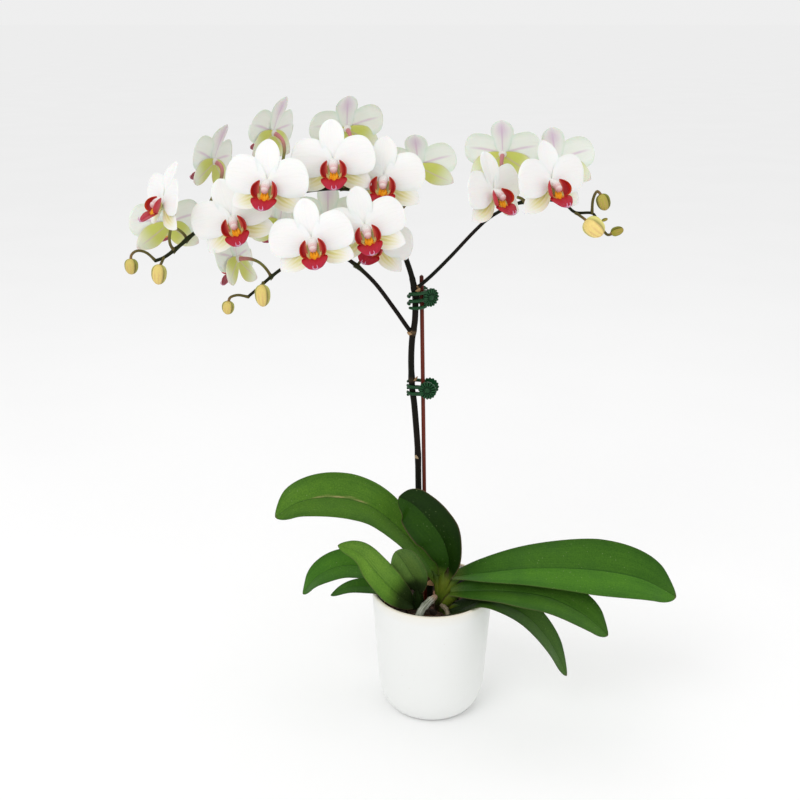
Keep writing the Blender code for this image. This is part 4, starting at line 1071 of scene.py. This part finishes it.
def flower_lip():
    """Side lobes that stand beside the column and a pointed middle lobe with a curled tip."""
    shape, rows = Shape(), 22
    tt, ss = grid_places(rows, 13)
    belly = np.sin(tt * math.pi)
    side_line = [(5.2, -13.2, 6.0), (8.6, -11.0, 6.8), (10.0, -6.8, 6.9), (8.9, -2.0, 6.0), (5.4, 1.8, 4.4)]
    outward, inward = vec(0.62, 0, 0.78), vec(-0.78, 0, 0.62)
    w = 4.5 * oval(tt, 0.46, 0.34, 2.0, 2.1, 0.75)
    lobe = sweep(smooth_path(side_line, rows), outward, inward, w * ss, 2.6 * ss**2 * belly)
    tint = mix(CRIMSON, CRIMSON_DARK, 0.6 * bell(ss, -0.1, 0.45) * belly)
    tint = mix(tint, ORANGE_RED, rise(np.abs(ss), 0.62, 0.98) * 0.85)
    tint = mix(tint, (0.60, 0.16, 0.10), 0.8 * rise(ss, -0.55, -1.0))
    outer = mix((0.50, 0.03, 0.04), (0.60, 0.16, 0.18), 0.6 * bell(ss, 0, 0.5) * belly)
    thick = 0.9 * (1 - 0.6 * ss**4) * np.clip(8 * np.minimum(tt, 1 - tt) + 0.35, 0, 1)
    for side in (1, -1):
        add_faced(shape, lobe * (side, 1, 1), thick, tint, outer, inward * (side, 1, 1), tt, ss)
    # middle lobe: a narrow claw, wide shoulders, then a taper to the tip
    mid_line = [(-11.0, 3.2), (-13.0, 6.0), (-15.0, 9.2), (-18.0, 12.8), (-21.2, 16.0), (-21.8, 18.0)]
    mid = smooth_path([(0, y, z) for y, z in mid_line], rows)
    share = np.interp(
        tt, [0, 0.12, 0.22, 0.32, 0.42, 0.52, 0.66, 0.80, 0.90, 1.0],
        [0.25, 0.45, 0.78, 0.96, 1.0, 0.94, 0.74, 0.48, 0.30, 0.15],
    )
    w = 11.2 * share
    lift = w * (0.14 * np.abs(ss) ** 1.5) * (1 - 0.4 * tt) - 0.6 * bell(ss, 0, 0.15) * belly
    top = (0, 1, 0.3)
    _, up = cross_axes(mid, top)
    tint = mix(CRIMSON, (0.48, 0.010, 0.048), 0.8 * rise(tt, 0.2, 0.8))
    tint = mix(tint, ORANGE_RED, 0.5 * rise(tt, 0.22, 0.02))
    tint = mix(tint, (0.62, 0.22, 0.46), rise(tt, 0.80, 0.93) * bell(ss, 0, 0.9))
    tint = mix(tint, (0.80, 0.62, 0.68), rise(tt, 0.95, 1.0) * 0.7)
    under = mix((0.30, 0.010, 0.030), (0.50, 0.16, 0.30), rise(tt, 0.7, 0.95))
    grid = sweep(mid, (1, 0, 0), up, w * ss, lift)
    add_faced(shape, grid, 1.1 * (1 - 0.6 * ss**4), tint, under, top, tt, ss)
    # two short horns curl back from the tip
    for side in (1, -1):
        horn = smooth_path([(0.9, -21.4, 17.6), (1.9, -20.2, 18.9), (1.6, -18.4, 18.6)], 9) * (side, 1, 1)
        add_tube(shape, horn, np.linspace(0.55, 0.22, 9), 7, (0.72, 0.40, 0.58))
    return shape


def flower_heart():
    """Column, its cap, the pale throat and the orange callus."""
    shape = Shape()
    path = smooth_path([(0, -0.6, -0.4), (0, -1.8, 3.0), (0, -3.4, 5.8), (0, -5.2, 7.4)], 14)
    u = np.linspace(0, 1, 14)
    radii = np.interp(u, [0, 0.3, 0.75, 1], [4.2, 4.1, 3.9, 3.4])
    tint = mix((0.84, 0.82, 0.80), (0.78, 0.52, 0.52), rise(u, 0.45, 0.95))
    add_tube(shape, path, radii, 18, tint, flat=0.86, start=(0, 1, 0))

    def cap_tint(t, a):
        return mix((0.84, 0.72, 0.70), (0.74, 0.42, 0.42), rise(t, 0.30, 0.85))

    def callus_tint(t, a):
        return mix((0.88, 0.30, 0.006), (0.92, 0.46, 0.03), 0.5 + 0.5 * np.sin(a * 3))

    add_egg(shape, (0, -6.1, 7.9), (0, -0.8, 0.35), 5.6, 3.3, cap_tint, 16, 11, 0.45)
    # throat: pale green floor of the lip, between the side lobes
    tt, ss = grid_places(12, 11)
    mid = smooth_path([(0, -3.0, 0.6), (0, -7.5, 1.4), (0, -12.0, 3.6), (0, -14.6, 6.4)], 12)
    w = np.interp(tt, [0, 0.3, 0.7, 1], [4.4, 6.8, 6.2, 3.6])
    tint = mix((0.76, 0.80, 0.34), (0.70, 0.52, 0.20), rise(np.abs(ss), 0.86, 1.0))
    tint = mix(tint, (0.70, 0.26, 0.03), rise(tt, 0.74, 0.98))
    add_blade(shape, sweep(mid, (1, 0, 0), (0, 0.3, 1), w * ss, 3.0 * ss**2), 0.8, tint, tint, tt, ss)
    for centre, tilt, length, radius in (
        ((-2.0, -12.4, 6.8), -0.30, 6.4, 1.7), ((2.0, -12.4, 6.8), 0.30, 6.4, 1.7),
        ((0, -13.2, 7.6), 0.0, 6.0, 1.9), ((-1.9, -10.0, 6.6), -0.45, 4.6, 0.9),
        ((1.9, -10.0, 6.6), 0.45, 4.6, 0.9), ((0, -9.9, 7.0), 0.0, 4.2, 0.9),
    ):
        add_egg(shape, centre, (tilt, 1, 0.1), length, radius, callus_tint, 12, 9, 0.4)
    return shape


PATHS = {
    key: (smooth_path(points, 200), np.linspace(r0, r1, 200))
    for key, (_, points, r0, r1, _) in BRANCHES.items()
}


def stalk_path(branch, place, back, face, count):
    """Leaves the branch squarely, then bends to meet the back of the flower."""
    path, radii = PATHS[branch]
    i = int(round(place * (len(path) - 1)))
    along = tangents(path)[i]
    out = back - face * 12 - path[i]
    out = unit(out - along * (out @ along))
    start = path[i] + out * radii[i] * 0.4
    reach = np.linalg.norm(back - start)
    p1 = start + out * reach * 0.38
    p2 = back - face * reach * 0.45
    t = np.linspace(0, 1, count)[:, None]
    return (1 - t) ** 3 * start + 3 * (1 - t) ** 2 * t * p1 + 3 * (1 - t) * t**2 * p2 + t**3 * back


def make_flower(letter, branch, place, centre, yaw, pitch, roll, size):
    """Turns by yaw towards +X and by pitch upwards, and leans its top to its own right by roll."""
    name = f"flower_{letter}"
    matrix, shift = rotation(yaw, -pitch, roll) @ FACING, vec(*centre)
    rng = np.random.default_rng(ord(letter))
    tepals = flower_tepals(rng).turned(matrix, shift, size)
    tepals.build(f"{name}_tepals", PETAL, name, "petal", 70)
    lip = flower_lip().turned(matrix, shift, size)
    lip.build(f"{name}_lip", LIP, name, "petal", 60)
    heart = flower_heart().turned(matrix, shift, size)
    face = matrix @ vec(0, 0, 1)
    back = shift + matrix @ vec(0, -0.6, -0.4) * size
    u = np.linspace(0, 1, 30)
    tint = mix((0.115, 0.085, 0.030), (0.20, 0.20, 0.055), rise(u, 0.0, 0.45))
    tint = mix(tint, (0.60, 0.24, 0.26), rise(u, 0.50, 0.85))
    tint = mix(tint, (0.68, 0.46, 0.44), rise(u, 0.92, 1.0))
    radii = np.interp(u, [0, 0.06, 0.5, 0.85, 1], [2.0, 1.35, 1.35, 1.75, 2.3])
    add_tube(heart, stalk_path(branch, place, back, face, len(u)), radii, 12, tint)
    heart.build(f"{name}_column", STALK, name, "petal", 60)


def make_bud(name, stalk, centre, axis, length, radius, yellow):
    shape = Shape()
    base = vec(*centre) - unit(vec(*axis)) * length * 0.42
    u = np.linspace(0, 1, 22)
    r0 = min(1.25, radius * 0.5)
    radii = np.interp(u, [0, 0.1, 0.8, 1], [r0 * 1.25, r0, r0, r0 * 1.35])
    tint = mix((0.10, 0.085, 0.026), (0.34, 0.19, 0.09), rise(u, 0.3, 1.0))
    add_tube(shape, smooth_path([*stalk, base], len(u)), radii, 10, tint)
    warm = mix((0.34, 0.31, 0.045), (0.93, 0.73, 0.26), yellow)
    green = mix((0.20, 0.22, 0.025), (0.80, 0.76, 0.26), yellow**2)

    def tint_at(t, a):
        # three sepals meet at seams; the one in front is warmer, with pinkish lines along it
        turn_share = np.mod((a - SEAM_TURN) * 3 / (2 * math.pi), 3)
        panel = np.mod(turn_share, 1)
        front = rise(turn_share, 1.0, 0.96)
        colour = mix(green, warm, front)
        lines = bell(np.mod(panel * 4, 1), 0.5, 0.2) * rise(t, 0.15, 0.5) * rise(t, 1.0, 0.85)
        colour = mix(colour, (0.58, 0.27, 0.17), lines * (0.15 + 0.25 * front))
        seam = bell(np.mod(panel + 0.5, 1), 0.5, 1 / 11)
        colour = mix(colour, green * (0.42, 0.38, 0.35), seam * (0.4 + 0.5 * rise(t, 0.0, 0.4)))
        return mix(colour, (0.50, 0.27, 0.16), rise(t, 0.84, 1.0) * 0.5)

    add_egg(shape, centre, axis, length, radius, tint_at, 60, 26, 0.42, 3, 0.15, sharp=2.4, tip=0.55)
    shape.build(f"{name}_bloom", BUD, name, "bud", 60)


# ---------------------------------------------------------------- clips
PLASTIC_SHADE, STEEL_SHADE = (1.0, 1.0, 1.0), (0.6, 0.6, 0.58)


def add_pad(shape):
    """A scalloped disc with radial ribs and a domed hub."""
    along, across, z_axis = rotation(CLIP_PAD_ANGLE).T
    centre = along * CLIP_PAD_X + across * CLIP_PAD_Y + z_axis * CLIP_LIFT
    ribs, around = 16, 128
    angles = ring_angles(around)
    rib = np.sqrt(0.5 + 0.5 * np.cos(angles * ribs))
    radii = np.array([0.0, 0.9, 1.8, 2.5, 2.9, 3.3, 3.8, 4.6, 5.6, 6.6, 7.5, 8.2, 8.55, CLIP_PAD_R])
    hub = np.interp(radii, [0, 0.9, 1.8, 2.5, 2.9, 3.3, 9], [2.0, 1.9, 1.55, 0.95, 0.1, 0, 0])
    ribbed = rise(radii, 3.3, 4.4) * (1 - 0.25 * rise(radii, 7.5, CLIP_PAD_R))

    def ring(r, height):
        out = r * (1 - 0.105 * (1 - rib) * (r / CLIP_PAD_R) ** 3)
        x, z = out * np.cos(angles), out * np.sin(angles)
        return centre + np.column_stack([x, np.broadcast_to(height, around), z]) @ (along, across, z_axis)

    rows, shade_and_highlight = [], []
    for r, dome, share in zip(radii, hub, ribbed):
        # painted shadow in the grooves between the ribs and round the hub, and a painted highlight on the rib
        # tops
        shade_and_highlight.append(1 + share * (1.25 * rib - 0.95) - 0.75 * bell(r, 3.2, 0.4))
        rows.append(ring(r, CLIP_PAD_T - 1.1 + dome + 1.15 * rib * share - 0.35 * rise(r, 8.1, CLIP_PAD_R)))
    for r in (8.6, 4.0, 0.0):
        rows.append(ring(r, 0.0))
        shade_and_highlight.append(np.ones(around))
    faces = grid_faces(len(rows), around, wrap=True)
    shape.add(np.vstack(rows), faces, np.concatenate(shade_and_highlight)[:, None])


def add_knuckle(shape, z0, z1):
    """A barrel round the pin and the web that joins it to the pad."""
    r, chamfer, bore = KNUCKLE_R, 0.25, PIN_R + 0.15
    barrel = [(r - chamfer, z0), (r, z0 + chamfer), (r, z1 - chamfer), (r - chamfer, z1)]
    add_lathe(shape, [(bore, z0), *barrel, (bore, z1)], 28, PLASTIC_SHADE)
    web = [(-1.4, 1.2), (-1.7, 3.2), (-1.9, 5.9), (2.3, 6.0), (2.0, 3.2), (1.6, 1.2)]
    verts = [vec(x, y, z) for z in (z0 + 0.1, (z0 + z1) / 2, z1 - 0.1) for x, y in web]
    shape.add(verts, closed_faces(3, len(web)), PLASTIC_SHADE)


def make_jaw(which, hinge, spin, front, fingers, knuckles):
    """One half of a clip. front is -1 for the half on the viewer's side."""
    shape = Shape()
    add_pad(shape)
    for z0, z1 in knuckles:
        add_knuckle(shape, z0, z1)
    for z in fingers:
        points = [
            (-3.4, 5.3, z * 0.9 + CLIP_LIFT * 0.6), (-6.6, 5.7, z), (-11.5, 6.0, z), (-15.8, 4.9, z),
            (0.7 - CLIP_REACH, 2.6, z), (-0.1 - CLIP_REACH, 0.4, z),
        ]
        radii = np.interp(np.linspace(0, 1, 34), [0, 0.15, 0.7, 1], [1.3, 1.6, 1.55, 1.25])
        add_tube(shape, smooth_path(points, 34), radii, 14, PLASTIC_SHADE)
    # a strap joins the fingers where they leave the pad
    strap = [(-4.6, 5.3, max(fingers) + 0.3), (-4.8, 5.3, 0), (-4.6, 5.3, min(fingers) - 0.3)]
    add_tube(shape, smooth_path(strap, 14), 1.2, 12, PLASTIC_SHADE)
    shape.turned(rotation(spin) @ np.diag([1.0, front, 1.0]), vec(*hinge))
    side = "front" if front < 0 else "back"
    body = f"{which}_clip_jaw" if front < 0 else PLANT
    shape.build(f"clip_{which}_{side}_half", CLIP, f"clip_{which}_{side}_jaw", "clip", 42, body)


def make_clip_metal(which, hinge, spin):
    half = [(PIN_R, 6.75), (PIN_R + 0.4, 6.8), (PIN_R + 0.5, 7.1), (PIN_R + 0.4, 7.3), (0, 7.3)]
    profile = [(r, -z) for r, z in half[::-1]] + half
    pin = add_lathe(Shape(), profile, 24, STEEL_SHADE).turned(np.eye(3), vec(*hinge))
    pin.build(f"clip_{which}_hinge_pin", STEEL, f"clip_{which}_pin", "steel", 35)
    turns, per_turn, coil_r, coil_length = 3, 20, 1.75, 2.2
    i = np.arange(turns * per_turn + 1)
    a = 2 * math.pi * i / per_turn
    coil = np.stack([coil_r * np.cos(a), coil_r * np.sin(a), coil_length * (i / len(i) - 0.5)], 1)
    legs_in = [(4.8, -1.5, -1.2), (3.6, -1.2, -1.2), (2.4, -0.8, -1.15)]
    legs_out = [(2.4, 0.9, 1.15), (4.4, 2.3, 1.2), (6.6, 3.7, 1.2)]
    path = np.vstack([legs_in, coil, legs_out]) @ rotation(spin).T
    spring = add_tube(Shape(), path + vec(*hinge), 0.32, 8, STEEL_SHADE)
    spring.build(f"clip_{which}_coil", STEEL, f"clip_{which}_spring", "steel", 60)


# ---------------------------------------------------------------- room, light and camera
def make_room():
    scene = bpy.context.scene
    mesh = bpy.data.meshes.new("floor")
    half = 80.0
    corners = [(x * half, y * half, 0) for x, y in ((-1, -1), (1, -1), (1, 1), (-1, 1))]
    mesh.from_pydata(corners, [], [(0, 1, 2, 3)])
    floor = bpy.data.objects.new("floor", mesh)
    scene.collection.objects.link(floor)
    n = Nodes("floor", 0.9, Specular_IOR_Level=0.0)
    cloud = n.ramp(n.noise(n.coords(), 3, 2), 0.3, 0.7)
    mesh.materials.append(n.finish(n.blend(cloud, (0.98, 0.98, 0.98), (0.99, 0.99, 0.99))))
    world = bpy.data.worlds.new("studio")
    scene.world = world
    world.use_nodes = True
    back = world.node_tree.nodes["Background"]
    back.inputs["Color"].default_value = (1.0, 1.0, 1.0, 1)
    back.inputs["Strength"].default_value = 0.86
    for name, place, aim, size, power in (
        ("key", (-0.9, -1.3, 1.75), (-0.03, 0, 0.35), 1.1, 9.5),
        ("fill", (1.3, -1.1, 0.9), (0.02, 0, 0.30), 1.2, 1.5),
        ("top", (0.1, 0.4, 1.9), (0, 0, 0.3), 1.2, 2.5),
    ):
        light = bpy.data.lights.new(name, "AREA")
        light.size, light.energy = size, power
        lamp = bpy.data.objects.new(name, light)
        lamp.location = place
        x, y, z = unit(np.subtract(aim, place))
        lamp.rotation_euler = (math.acos(-z), 0, math.atan2(y, x) - math.pi / 2)
        scene.collection.objects.link(lamp)
    scene.view_settings.view_transform = "Standard"


def make_camera():
    cam = bpy.data.cameras.new("camera")
    cam.lens, cam.sensor_width = 49.5, 36.0
    cam.clip_end = 300.0
    obj = bpy.data.objects.new("camera", cam)
    down = 19.3
    obj.location = (-0.032, -0.973, 0.666)
    obj.rotation_euler = (math.radians(90 - down), 0, 0)
    bpy.context.scene.collection.objects.link(obj)
    bpy.context.scene.camera = obj


make_camera()
make_room()
make_pot()
make_culture_pot()
make_bark()
make_main_stem()
for key, spec in BRANCHES.items():
    make_branch(key, *spec)
make_stake()
make_main_shoot()
make_side_shoot()
for name, spec in ROOTS.items():
    make_root(name, *spec)
for name, spec in LEAVES.items():
    make_leaf(name, **spec)
for letter, spec in FLOWERS.items():
    make_flower(letter, *spec)
for name, spec in BUDS.items():
    make_bud(f"bud_{name}", *spec)
for which, (hinge, spin, front_z, back_z) in CLIPS.items():
    make_jaw(which, hinge, spin, -1, front_z, ((4.7, 6.7), (-6.7, -4.7)))
    make_jaw(which, hinge, spin, 1, back_z, ((1.7, 4.3), (-4.3, -1.7)))
    make_clip_metal(which, hinge, spin)
